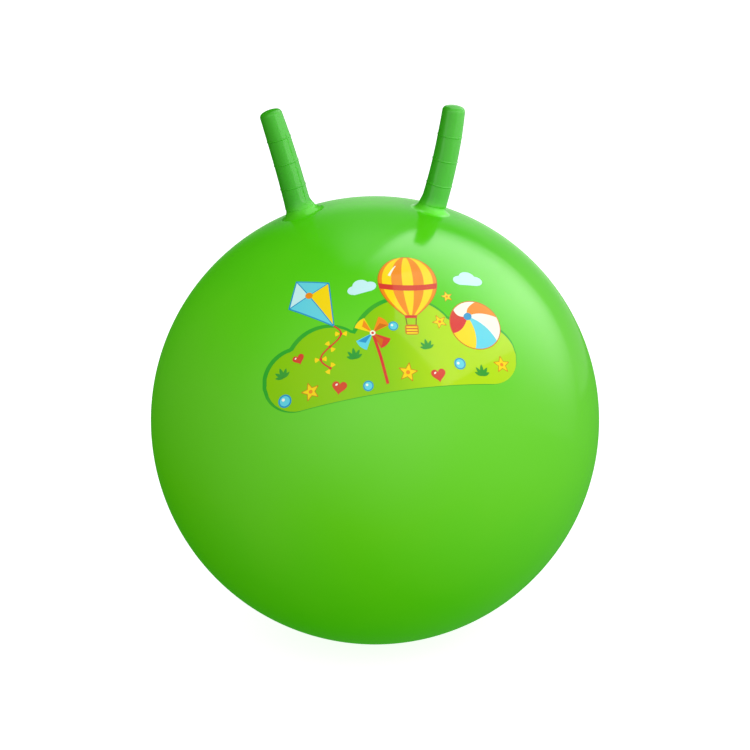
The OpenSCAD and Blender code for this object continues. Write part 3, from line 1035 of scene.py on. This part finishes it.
# %% Fingernail notches
NOTCH_IN, NOTCH_OUT = 5.4, 8.4
NOTCH_HALF = 2.0
NOTCH_LOW, NOTCH_HIGH = 0.9, 1.9
BOX_FACES = [(0, 1, 3, 2), (4, 6, 7, 5), (0, 4, 5, 1), (2, 3, 7, 6), (0, 2, 6, 4), (1, 5, 7, 3)]
points, faces = [], []
for side in (-1, 1):
    first = len(points)
    points += [(side * x * MM, y * MM, (head_floor + z) * MM) for x in (NOTCH_IN, NOTCH_OUT)
               for y in (-NOTCH_HALF, NOTCH_HALF) for z in (NOTCH_LOW, NOTCH_HIGH)]
    # On the left the box is a mirror image, so its faces run the other way round
    faces += [tuple(first + i for i in face[::side]) for face in BOX_FACES]
cutters = bpy.data.meshes.new("fingernail_notches")
cutters.from_pydata(points, [], faces)
cutter = bpy.data.objects.new("fingernail_notches", cutters)
scene.collection.objects.link(cutter)
cut = plug.modifiers.new("notches", "BOOLEAN")
cut.object = cutter
cut.operation = "DIFFERENCE"
cut.solver = "EXACT"
as_plain_mesh(plug)
bpy.data.objects.remove(cutter)
plug.data.set_sharp_from_angle(angle=SHARP_EDGE)
plug.data.transform(to_valve)

# %% [markdown]
# ## Printed film
# The print is ink on the skin: flat shapes with crisp edges under a thin clear coat. An image
# texture could carry it, but real thin shapes stay crisp at any distance and also exist in
# the exported mesh. Each shape is drawn flat, in millimetres from the film's middle, and
# filled with small triangles, because a large triangle can't bend. Thicker layers lie on
# thinner ones. A tree then lays the flat print on the ball. The ink's colour is stored at the
# corners of its faces. Fine specks and broad patches where it is a little worn break it up.

# %% Ink shader
SPECKS = 420.0
PATCHES = 30.0
WORN_LIME = (0.30, 0.62, 0.006)
TIRED_LIME = (0.45, 0.58, 0.01)
ink, tree = new_shader("print_ink")
colour = node(tree, "ShaderNodeAttribute", attribute_name="ink").outputs["Color"]
place = node(tree, "ShaderNodeTexCoord").outputs["Object"]
patch = noise(tree, place, PATCHES)
worn = ramp(tree, noise(tree, place, SPECKS), 0.62, 0.80, 0.0, 0.10)
colour = blend_colours(tree, worn, colour, WORN_LIME)
tired = ramp(tree, patch, 0.3, 0.8, 0.0, 0.08)
colour = blend_colours(tree, tired, colour, TIRED_LIME)
rough = ramp(tree, patch, 0.3, 0.7, 0.20, 0.27)
wave = node(tree, "ShaderNodeBump", {"Height": patch, "Distance": 0.0003, "Strength": 0.5})
end_as_plastic(tree, {
    "Base Color": colour, "Roughness": rough, "Normal": wave.outputs[0],
    "Specular IOR Level": 0.0, "Coat Weight": 0.2, "Coat Roughness": 0.05,
})
print("ink shader:", ink.name)

# %% [markdown]
# The inks are a small set of flat colours. Only the lime of the meadow isn't even: it grows
# lighter from the left to the right, partly as a printed gradient does and partly as painted
# light from the right, where the soft box is.

# %% Inks
INKS = {
    "lime": srgb(134, 200, 2), "right_lime_with_painted_light": srgb(176, 220, 14), "rim": srgb(40, 168, 44),
    "leaf": srgb(46, 156, 52), "orange": srgb(238, 138, 24), "amber": srgb(205, 104, 18),
    "yellow": srgb(246, 216, 20), "sky": srgb(96, 210, 226), "pale": srgb(196, 240, 240),
    "blue": srgb(38, 148, 200), "red": srgb(212, 52, 46), "cream": srgb(246, 246, 226),
    "brown": srgb(120, 62, 26),
}
# Where the lime grows lighter along the film, in mm: a printed gradient and painted light from the
# right
LIME_GRADIENT_AND_PAINTED_LIGHT = (-15.0, 55.0)
print("inks:", ", ".join(INKS))


def ink_at(tint, x):
    """The colour of an ink at a place along the film, in millimetres. The lime's lighter right
    end is partly painted light.
    """
    if tint != "lime":
        return INKS[tint]
    share = soft_step(x, *LIME_GRADIENT_AND_PAINTED_LIGHT)
    return tuple(a + (b - a) * share for a, b in zip(INKS["lime"], INKS["right_lime_with_painted_light"]))

# %% [markdown]
# Blender can fill an outline with a few large faces, but a bent print needs many small ones.
# So a lattice of points is laid inside each outline, well clear of its edge, and a Delaunay
# triangulation joins it to the edge.

# %% Filling outlines
FILL_STEP = 4.0
EDGE_CLEAR = 0.45 * FILL_STEP


def finely(outline, longest=FILL_STEP):
    """The same outline with no segment longer than the given length."""
    points = []
    for (ax, ay), (bx, by) in zip(outline, outline[1:] + outline[:1]):
        parts = max(1, int(np.ceil(np.hypot(bx - ax, by - ay) / longest)))
        for i in range(parts):
            points.append((ax + (bx - ax) * i / parts, ay + (by - ay) * i / parts))
    return np.array(points)


def lattice_inside(edge):
    """Points of a square lattice inside an outline and clear of its edge."""
    low, high = edge.min(0), edge.max(0)
    xs = np.arange(low[0] + FILL_STEP / 2, high[0], FILL_STEP)
    ys = np.arange(low[1] + FILL_STEP / 2, high[1], FILL_STEP)
    lattice = np.array([(x, y) for x in xs for y in ys]).reshape(-1, 1, 2)
    if not len(lattice):
        return lattice.reshape(-1, 2)
    a, b = edge, np.roll(edge, -1, axis=0)
    x, y = lattice[..., 0], lattice[..., 1]
    with np.errstate(all="ignore"):
        reach = (b[:, 0] - a[:, 0]) * (y - a[:, 1]) / (b[:, 1] - a[:, 1]) + a[:, 0]
    inside = (((a[:, 1] > y) != (b[:, 1] > y)) & (x < reach)).sum(1) % 2 == 1
    way = b - a
    share = ((lattice - a) * way).sum(2) / np.maximum((way**2).sum(1), 1e-9)
    nearest = a + np.clip(share, 0, 1)[..., None] * way
    clear = np.linalg.norm(lattice - nearest, axis=2).min(1) > EDGE_CLEAR
    return lattice[inside & clear].reshape(-1, 2)


def filled(outline):
    """Fills an outline with triangles. Returns their corners and the triangles."""
    edge = finely(outline)
    points = [Vector(p) for p in edge] + [Vector(p) for p in lattice_inside(edge)]
    result = delaunay_2d_cdt(points, [], [list(range(len(edge)))], 1, 1e-4)
    return [(v.x, v.y) for v in result[0]], [tuple(f) for f in result[2]]


print("triangles of a filled outline are about", FILL_STEP, "mm wide")

# %% [markdown]
# The flat triangles then become a thin closed slab: a top, the same triangles turned over as
# its underside, and a rim between them. A Solidify modifier could do that too, but here the
# height of the layer and the ink of each corner are stored on the way.

# %% Slabs of ink
LAYER = 0.035
INK_FOOT = 0.005


def slabs(name, shapes):
    """One mesh of thin closed slabs from shapes: outline, ink and layer of each."""
    points, faces, tints = [], [], []
    for outline, tint, layer in shapes:
        flat, triangles = filled(outline)
        first, count = len(points), len(flat)
        top = INK_FOOT + LAYER * (layer + 1)
        points += [(x * MM, y * MM, top * MM) for x, y in flat]
        points += [(x * MM, y * MM, INK_FOOT * MM) for x, y in flat]
        made = list(triangles) + [tuple(i + count for i in reversed(t)) for t in triangles]
        ways = {(t[i], t[(i + 1) % 3]) for t in triangles for i in range(3)}
        rim = [way for way in ways if way[::-1] not in ways]
        made += [(u + count, v + count, v, u) for u, v in sorted(rim)]
        faces += [tuple(first + i for i in face) for face in made]
        tints += [ink_at(tint, flat[i % count][0]) for face in made for i in face]
    mesh = bpy.data.meshes.new(name)
    mesh.from_pydata(points, [], faces)
    inked = mesh.color_attributes.new("ink", "FLOAT_COLOR", "CORNER")
    inked.data.foreach_set("color", [c for tint in tints for c in (*tint, 1)])
    mesh.polygons.foreach_set("use_smooth", [True] * len(faces))
    mesh.set_sharp_from_angle(angle=SHARP_EDGE)
    return mesh


print("a layer of ink is", LAYER, "mm thick")

# %% [markdown]
# The tree that lays the print on the ball looks at each flat point from far outside, along
# the axis through the film's middle, and drops it on the sphere. Then it turns the film up to
# its height and round to its place.

# %% A tree that lays a flat print on the ball
FILM_ANGLE = 36.0
FILM_TURN = 11.0
FILM_TILT = 4.0
FILM_SIZES = [
    ("Radius", "Float", 0.2), ("Tilt", "Float", 0.0), ("Rise", "Float", 0.0),
    ("Turn", "Float", 0.0), ("Centre", "Vector", None), ("Material", "Material", None),
]
FILM_VALUES = {
    "Radius": BALL_R * MM, "Tilt": radians(FILM_TILT), "Rise": radians(90 - FILM_ANGLE),
    "Turn": radians(FILM_TURN), "Centre": tuple(CENTRE), "Material": ink,
}


def lay_on_ball(tree, geometry, given):
    """Adds the steps that bend flat geometry on the ball, and returns the result."""
    x, y, layer = parts_of(tree, node(tree, "GeometryNodeInputPosition").outputs[0])
    square = maths(tree, "MULTIPLY", given["Radius"], given["Radius"])
    for across in (x, y):
        square = maths(tree, "SUBTRACT", square, maths(tree, "MULTIPLY", across, across))
    ball = vector_of(tree, x, y, maths(tree, "SQRT", square))
    swell = maths(tree, "ADD", maths(tree, "DIVIDE", layer, given["Radius"]), 1.0)
    inputs = {0: ball, "Scale": swell}
    place = node(tree, "ShaderNodeVectorMath", inputs, operation="SCALE").outputs[0]
    for axis, angle in (("Z", "Tilt"), ("X", "Rise"), ("Z", "Turn")):
        place = turned_about(tree, place, given[angle], axis)
    return moved_to(tree, geometry, vector_maths(tree, "ADD", place, given["Centre"]))


laid_print, given = new_tree("laid_print", FILM_SIZES)
close_tree(laid_print, lay_on_ball(laid_print, given["Geometry"], given), given["Material"])
print("tree", laid_print.name, "has", len(laid_print.nodes), "nodes")


def printed(name, shapes):
    """A piece of the print from its flat shapes."""
    return run_tree(name, slabs(name, shapes), laid_print, FILM_VALUES)

# %% [markdown]
# The shapes are simple, and each is a function that returns an outline, which runs
# anticlockwise. Ovals, stars and hearts are drawn about their middle.

# %% Ovals, stars and hearts
def turned_by(points, x, y, turn):
    """Points turned by degrees about zero and moved to a place."""
    c, s = cos(radians(turn)), sin(radians(turn))
    return [(x + px * c - py * s, y + px * s + py * c) for px, py in points]


def oval(x, y, rx, ry=None, turn=0, steps=40):
    """An ellipse, or a circle where one radius is given."""
    angles = [2 * pi * i / steps for i in range(steps)]
    return turned_by([(rx * cos(a), (ry or rx) * sin(a)) for a in angles], x, y, turn)


def star(x, y, r, points=5, inner=0.45, turn=90, soft=0.86):
    """A star with blunt points."""
    made = []
    for i in range(points):
        a = 2 * pi * i / points
        for shift in (-0.09, 0.0, 0.09):
            size = r * (1.0 if shift == 0 else soft)
            made.append((size * cos(a + shift), size * sin(a + shift)))
        b = a + pi / points
        made.append((r * inner * cos(b), r * inner * sin(b)))
    return turned_by(made, x, y, turn)


def heart(x, y, size, turn=0, steps=36):
    """A heart, from the usual sum of cosines for one."""
    made = []
    for i in range(steps):
        a = 2 * pi * i / steps
        px = 16 * sin(a) ** 3
        py = 13 * cos(a) - 5 * cos(2 * a) - 2 * cos(3 * a) - cos(4 * a)
        made.append((-px * size / 32, py * size / 32))
    return turned_by(made, x, y, turn)


print("points of a star:", len(star(0, 0, 1)), "and of a heart:", len(heart(0, 0, 1)))

# %% [markdown]
# A leaf grows from its stalk, a strip follows a path of points and may taper, and a block is a
# rectangle with round corners.

# %% Leaves, strips and blocks
def leaf(x, y, length, width, turn=0, steps=12):
    """A pointed leaf that starts at a place and grows along its turn."""
    shares = [i / steps for i in range(steps + 1)]
    lower = [(length * s, -width / 2 * sin(pi * s) ** 0.8) for s in shares[:-1]]
    upper = [(length * s, width / 2 * sin(pi * s) ** 0.8) for s in shares[:0:-1]]
    return turned_by(lower + upper, x, y, turn)


def strip(path, width, taper=1.0):
    """A band along a path of points. Its width goes from width to width times taper."""
    path = np.array(path, float)
    way = np.gradient(path, axis=0)
    way /= np.linalg.norm(way, axis=1, keepdims=True)
    side = np.stack([way[:, 1], -way[:, 0]], 1)
    half = np.linspace(width, width * taper, len(path))[:, None] / 2
    right, left = path + side * half, path - side * half
    return [tuple(p) for p in right] + [tuple(p) for p in left[::-1]]


def block(x, y, width, height, round_r, turn=0):
    """A rectangle with round corners, about its middle."""
    made = []
    for cx, cy, start in ((1, -1, -90), (1, 1, 0), (-1, 1, 90), (-1, -1, 180)):
        made += arc(cx * (width / 2 - round_r), cy * (height / 2 - round_r), round_r, start,
                    start + 90, 5)
    return turned_by(made, x, y, turn)


print("points of a block:", len(block(0, 0, 4, 2, 0.5)))

# %% [markdown]
# ### Meadow
# The ground of the print is a hilly meadow in lime, with a dark green rim along its crest. It
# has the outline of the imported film: a bar with round ends and three humps. The lime shape is
# the same outline with its crest drawn in by the rim's width.

# %% Meadow
FILM_W = 240.0
FILM_H = 92.0
BAR_R = 0.33 * FILM_H
HUMPS = [(-0.25, 0.40, 0.42), (0.06, 0.44, 0.56), (0.32, 0.39, 0.38)]
OUTLINE_POINTS = 161
RIM_W = 4.2
RIM_STEP = 2.5
RIM_SIDE = np.array([-0.66, 0.75])


def meadow_outline():
    """Outline of the film, anticlockwise from its lower left."""
    bar_y = BAR_R - FILM_H / 2
    base, crest = [], []
    for x in np.linspace(-FILM_W / 2, FILM_W / 2, OUTLINE_POINTS):
        reach = max(0.0, abs(x) - (FILM_W / 2 - BAR_R))
        rise = sqrt(max(0.0, BAR_R**2 - reach**2))
        top = bar_y + rise
        for share, middle, radius in HUMPS:
            away = x - share * FILM_W
            if abs(away) < radius * FILM_H:
                hump = sqrt((radius * FILM_H) ** 2 - away**2)
                top = max(top, middle * FILM_H - FILM_H / 2 + hump)
        base.append((x, bar_y - rise))
        crest.append((x, min(top, FILM_H / 2)))
    return base + crest[-2:0:-1]


def drawn_in(outline, width):
    """The outline drawn in, most where it faces the upper left and least opposite."""
    edge = finely(outline, RIM_STEP)
    way = np.roll(edge, -1, axis=0) - np.roll(edge, 1, axis=0)
    way /= np.linalg.norm(way, axis=1, keepdims=True)
    out = np.stack([way[:, 1], -way[:, 0]], 1)
    facing = 0.5 + 0.5 * (out @ RIM_SIDE)
    return [tuple(p) for p in edge - out * width * facing[:, None]]


whole = meadow_outline()
meadow = printed("print_meadow", [(whole, "rim", 0), (drawn_in(whole, RIM_W), "lime", 1)])

# %% [markdown]
# ### Balloon, kite, beach ball and pinwheel
# Four large motifs stand on the meadow: things that fly, roll and turn in the wind. They are
# plain, common shapes. Each starts with its whole outline in a darker ink, which stays as a
# thin contour round the lighter parts on top.
#
# The balloon is sewn from gores, strips that are wide in the middle and narrow at the ends.
# Those near the edge are seen from the side and look narrower, so the seams stand at the
# sines of nearly even angles.

# %% Hot-air balloon
BALLOON = (28.0, 62.0, -6)
BALLOON_R = 28.0
SKIRT = 38.0
GORE_EDGES = (-90, -62, -34, -11, 11, 34, 62, 90)
GORE_POINTS = 40
SEAM_W = 0.8
BELT = (8, 2)
BELT_IN = 0.985
BELT_SAG = 3.2


def at_balloon(points):
    """Moves points that are drawn about the balloon's middle to its place."""
    x, y, turn = BALLOON
    return turned_by(points, x, y, turn)


def balloon_half(y):
    """Half the width of the balloon at a height above its widest place."""
    if y >= 0:
        return sqrt(max(0.0, BALLOON_R**2 - y**2))
    return BALLOON_R * (1 - 0.80 * (-y / SKIRT) ** 2.1)


def gore(left, right, shrink=0.0):
    """A gore of the balloon between two shares of its half width."""
    ys = np.linspace(-SKIRT + shrink, BALLOON_R - shrink - 0.2, GORE_POINTS)
    widths = [max(0.0, balloon_half(y) - shrink) for y in ys]
    up = [(right * w, y) for w, y in zip(widths, ys)]
    down = [(left * w, y) for w, y in zip(widths, ys)]
    return at_balloon(up + down[::-1])


def belt_line(drop, shares):
    """A sagging line across the balloon, at a drop below its widest place."""
    half = balloon_half(-drop)
    return [(half * s * BELT_IN, -drop - BELT_SAG * (1 - s * s)) for s in shares]


balloon_shapes = [(gore(-1, 1), "amber", 2)]
edges = [sin(radians(a)) for a in GORE_EDGES]
for i, (left, right) in enumerate(zip(edges, edges[1:])):
    balloon_shapes.append((gore(left, right, SEAM_W), "yellow" if i % 2 else "orange", 3))
belt = belt_line(BELT[0], np.linspace(-1, 1, 15)) + belt_line(BELT[1], np.linspace(1, -1, 15))
ropes = [strip([(x * 5.0, -38.5), (x * 4.2, -47)], 0.9) for x in (-1, 1)]
balloon_shapes.append((at_balloon(belt), "red", 4))
balloon_shapes += [(at_balloon(rope), "brown", 3) for rope in ropes]
balloon_shapes.append((at_balloon(block(0, -39, 11.5, 2.6, 1.2)), "red", 4))
balloon_shapes.append((at_balloon(block(0, -52, 12.5, 10, 2.4)), "amber", 3))
for y in (-49.6, -52.6, -55.4):
    balloon_shapes.append((at_balloon(block(0, y, 10.4, 1.5, 0.6)), "yellow", 4))
shine = strip([(-17 + 1.2 * i, 6 + 13 * sin(i / 9 * pi / 2)) for i in range(7)], 2.4, 0.3)
balloon_shapes.append((at_balloon(shine), "cream", 5))
balloon = printed("print_balloon", balloon_shapes)

# %% [markdown]
# The kite is a diamond of four sails on a cross of two spars. Its tail hangs in a wave that
# swings with the sine of the way along it.

# %% Kite
KITE = (-62.0, 58.0, 24.0)
TAIL_SWING, TAIL_DRIFT, TAIL_LENGTH = 8.0, 12, 40
TAIL_WAVES = 6.6


def at_kite(points):
    """Moves points that are drawn about the kite's middle to its place."""
    x, y, turn = KITE
    return turned_by(points, x, y, turn)


sail = {"top": (0, 26), "left": (-21, 6), "foot": (0, -34), "right": (21, 6), "mid": (0, 6)}
kite_shapes = [(at_kite([(0, 27.6), (-22.6, 6.2), (0, -36.4), (22.6, 6.2)]), "blue", 2)]
for corners, tint in ((("mid", "top", "left"), "pale"), (("mid", "left", "foot"), "sky"),
                      (("mid", "foot", "right"), "yellow"), (("mid", "right", "top"), "sky")):
    kite_shapes.append((at_kite([sail[c] for c in corners]), tint, 3))
for start, end in (("top", "foot"), ("left", "right")):
    kite_shapes.append((at_kite(strip([sail[start], sail[end]], 0.9)), "blue", 4))
kite_shapes.append((at_kite(oval(0, 6, 3.4)), "orange", 5))
foot = at_kite([(0, -35)])[0]
tail = [(foot[0] - TAIL_DRIFT * s + TAIL_SWING * sin(TAIL_WAVES * s), foot[1] - TAIL_LENGTH * s)
        for s in np.linspace(0, 1, 40)]
kite_shapes.append((strip(tail, 1.5), "red", 3))
kite = printed("print_kite", kite_shapes)

# %% [markdown]
# A beach ball has six panels that meet at a small cap. The ball is seen a little from the
# side, so the cap is off the middle and the seams that run from it are curved.

# %% Beach ball
BEACH = (84.0, 12.0)
BEACH_R = 25.0
BEACH_RIM = 0.9
POLE = (BEACH[0] - 6.0, BEACH[1] + 8.5)
SEAM_SWELL = 3.6
PANELS = ["orange", "cream", "red", "yellow", "sky", "cream"]


def seam(turn):
    """A seam of the beach ball from its pole to its rim, curved by the ball's roundness."""
    a = radians(turn)
    end = [middle + (BEACH_R - BEACH_RIM) * f(a) for middle, f in zip(BEACH, (cos, sin))]
    swell = (-sin(a) * SEAM_SWELL, cos(a) * SEAM_SWELL)
    made = []
    for s in np.linspace(0, 1, 12):
        lift = 4 * s * (1 - s)
        made.append(tuple(p + (e - p) * s + w * lift for p, e, w in zip(POLE, end, swell)))
    return made


beach_shapes = [(oval(*BEACH, BEACH_R, steps=72), "amber", 2)]
for i, tint in enumerate(PANELS):
    start, end = 20 + 60 * i, 80 + 60 * i
    rim = arc(*BEACH, BEACH_R - BEACH_RIM, start, end, 12)
    beach_shapes.append((seam(start) + rim[1:-1] + seam(end)[::-1][:-1], tint, 3))
beach_shapes.append((oval(*POLE, 4.2, 3.6, 35), "blue", 4))
beach_ball = printed("print_beach_ball", beach_shapes)

# %% [markdown]
# The pinwheel has four wings on a stick. Each is a wing with a smaller fold in a second ink on
# top, drawn once and turned about the pin by quarter turns.

# %% Pinwheel
PINWHEEL = (-14.0, 12.0)
WING = 17.0
WING_TURN = 18
WINGS = [("orange", "amber"), ("yellow", "orange"), ("sky", "blue"), ("red", "amber")]
rim = [(WING * cos(radians(a)) * (1 + 0.05 * sin(radians(2 * a))), WING * sin(radians(a)))
       for a in (12, 24, 36, 46)]
wing = [(0, 0), (WING, 0)] + rim
fold = [(0.6, 0.2), (WING * 0.92, 0.9), (WING * 0.60, 5.6)]
wheel_shapes = [(strip([(-8, -38), (-10.5, -12), PINWHEEL], 2.8), "red", 2)]
for i, (front_tint, fold_tint) in enumerate(WINGS):
    turn = WING_TURN + 90 * i
    wheel_shapes.append((turned_by(wing, *PINWHEEL, turn), front_tint, 3))
    wheel_shapes.append((turned_by(fold, *PINWHEEL, turn), fold_tint, 4))
wheel_shapes.append((oval(*PINWHEEL, 2.6), "cream", 5))
wheel_shapes.append((oval(*PINWHEEL, 1.2, steps=20), "red", 6))
pinwheel = printed("print_pinwheel", wheel_shapes)

# %% [markdown]
# ### Small motifs
# Stars, hearts, dots, clouds and sprigs are repeated all over the meadow and beside it. They
# are drawn once each and then placed by Geometry Nodes: every point of a small mesh says
# which motif it wants, how it is turned and how large it is, and a fixed seed turns each a
# little more, so that no two look the same.

# %% Small motifs
SPRIG_LEAVES = [(8.4, 2.6, 90), (7.6, 2.4, 56), (7.6, 2.4, 124), (6.2, 2.2, 26), (6.2, 2.2, 154)]
MOTIFS = {
    "star": [
        (star(0, 0, 7.4), "amber", 2), (star(0, 0, 6.2), "yellow", 3),
        (oval(0, 0, 1.5, steps=16), "orange", 4),
    ],
    "heart": [(heart(0, 0, 11.5), "red", 2), (oval(-2.4, 1.7, 1.1, 0.7, 40, 12), "cream", 3)],
    "dot": [
        (oval(0, 0, 4.6, steps=28), "blue", 2), (oval(0, 0, 3.5, steps=24), "sky", 3),
        (oval(-1, 1, 1.1, steps=12), "cream", 4),
    ],
    "sprig": [(leaf(0, 0, *size), "leaf", 2) for size in SPRIG_LEAVES],
    "bow": [
        ([(0, 0), (5, -2.6), (5.6, 0), (5, 2.6)], "yellow", 4),
        ([(0, 0), (-5, 2.6), (-5.6, 0), (-5, -2.6)], "yellow", 4),
        (oval(0, 0, 1.4, steps=14), "red", 5),
    ],
    "cloud": [
        (oval(-6, 0, 5.2, 4.0), "pale", 2), (oval(0, 2.4, 6.4, 5.6), "pale", 3),
        (oval(6.4, 0, 5.4, 4.2), "pale", 2), (block(0, -2.2, 17, 4.2, 2), "pale", 4),
    ],
}
STAR, HEART, DOT, SPRIG, BOW, CLOUD = range(len(MOTIFS))
# The tree picks a motif by its number in the order of the names, so each name starts with it
templates = bpy.data.collections.new("small_motifs")
for number, (name, shapes) in enumerate(MOTIFS.items()):
    name = f"motif_{number}_{name}"
    templates.objects.link(bpy.data.objects.new(name, slabs(name, shapes)))
print("motifs:", ", ".join(MOTIFS))

# %% [markdown]
# Each motif has a place on the film, a turn in degrees and a size. Four of them are the bows
# on the kite's tail: they follow its path and lie across it.

# %% Places of the motifs
placed = [
    (-100, -12, SPRIG, 8, 1.25), (-78, -31, STAR, 10, 1.2), (-102, -33, DOT, 0, 1.3),
    (-52, -33, HEART, -12, 1.2), (-34, -10, SPRIG, -6, 1.3), (-26, -37, DOT, 0, 1.05),
    (12, -30, STAR, -14, 1.3), (34, -10, SPRIG, 4, 1.2), (40, -35, HEART, 10, 1.2),
    (62, -26, DOT, 20, 1.2), (50, 16, STAR, 22, 1.0), (82, -38, SPRIG, -4, 1.3),
    (103, -27, STAR, 0, 1.15), (-84, 2, HEART, 16, 0.95), (6, 16, DOT, 0, 1.0),
    (-16, 60, CLOUD, 4, 1.2), (86, 60, CLOUD, -8, 1.25), (62, 42, STAR, 12, 0.8),
]
for share in (0.25, 0.5, 0.75, 1.0):
    i = int(share * (len(tail) - 1))
    ahead = np.subtract(tail[min(i + 1, len(tail) - 1)], tail[i - 1])
    placed.append((*tail[i], BOW, float(np.degrees(np.arctan2(ahead[1], ahead[0]))) + 90, 1.0))
spots = bpy.data.meshes.new("motif_places")
spots.from_pydata([(x * MM, y * MM, 0) for x, y, *_ in placed], [], [])
_, _, kinds, turns, motif_sizes = zip(*placed)
for name, kind, values in (("kind", "INT", kinds), ("turn", "FLOAT", [radians(t) for t in turns]),
                           ("size", "FLOAT", motif_sizes)):
    spots.attributes.new(name, kind, "POINT").data.foreach_set("value", values)
print("small motifs:", len(placed))

# %% [markdown]
# In the tree, Collection Info hands over the motifs one by one, and Instance on Points picks
# one for each point by its number. The copies are made real while they are still flat, so
# that the same steps as before can lay them on the ball.

# %% A tree that places motifs
def scattering_tree():
    """Places one of several motifs on each point, and lays them on the ball."""
    sizes = [("Motifs", "Collection", None), ("Unrest", "Float", 0.1), ("Seed", "Int", 0)]
    tree, given = new_tree("placed_motifs", sizes + FILM_SIZES)

    def told(name, kind="FLOAT"):
        """What each point says about its motif."""
        inputs = {"Name": name}
        made = node(tree, "GeometryNodeInputNamedAttribute", inputs, data_type=kind)
        return made.outputs["Attribute"]

    inputs = {"Collection": given["Motifs"], "Separate Children": True, "Reset Children": True}
    motifs = node(tree, "GeometryNodeCollectionInfo", inputs).outputs[0]
    inputs = {2: maths(tree, "MULTIPLY", given["Unrest"], -1.0), 3: given["Unrest"]}
    inputs["Seed"] = given["Seed"]
    shake = node(tree, "FunctionNodeRandomValue", inputs, data_type="FLOAT").outputs[1]
    spin = vector_of(tree, 0.0, 0.0, maths(tree, "ADD", told("turn"), shake))
    size = told("size")
    put = node(tree, "GeometryNodeInstanceOnPoints", {
        "Points": given["Geometry"], "Instance": motifs, "Pick Instance": True,
        "Instance Index": told("kind", "INT"), "Rotation": spin,
        "Scale": vector_of(tree, size, size, 1.0),
    })
    real = node(tree, "GeometryNodeRealizeInstances", {"Geometry": put.outputs[0]})
    close_tree(tree, lay_on_ball(tree, real.outputs[0], given), given["Material"])
    return tree


UNREST = 0.12
SEED = 7
small_motifs = run_tree("print_small_motifs", spots, scattering_tree(), {
    "Motifs": templates, "Unrest": UNREST, "Seed": SEED, **FILM_VALUES,
})
for made in list(templates.objects):
    bpy.data.objects.remove(made)
bpy.data.collections.remove(templates)
prints = [meadow, balloon, kite, beach_ball, pinwheel, small_motifs]

# %% [markdown]
# The ink is smoother than the skin, so it mirrors the edge of the right-hand soft box crisply
# where the skin only shows a blur. A card that is linked to the print alone draws that edge.

# %% Light for the print
PRINT_GLOW = 4.0


def print_glow(inwards, up):
    """Even, with a crisp inner edge."""
    return PRINT_GLOW * soft_step(1 - inwards, 0.0, 0.05)


print_panel = light_card("print_panel", [(125, 15), (125, 80), (28, 60), (44, 28)], print_glow)
shine_only_on(print_panel, prints)

# %% [markdown]
# ## Joining the frame
# Every piece rides on a body of the imported model, so that it moves as the model does. Only
# the plug moves, along the bore. The table gives for each piece its body, the imported node it
# stands for, which is hidden, and a finish of the record, which nothing reads.

# %% Bodies, nodes and finishes
dressed = [
    (ball_skin, "ball", "ball_skin", "skin_pvc"),
    (horns["horn_left"], "ball", "horn_left", "horn_pvc"),
    (horns["horn_right"], "ball", "horn_right", "horn_pvc"),
    (valve_seat, "ball", "valve_seat", "seat_pvc"),
    (plug, "plug", "valve_plug", "plug_plastic"),
    (meadow, "ball", "print_film", "print_ink"),
]
for piece, body, stands_for, finish in dressed:
    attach(piece, body)
    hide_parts(stands_for)
for piece in prints[1:]:
    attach(piece, "ball")
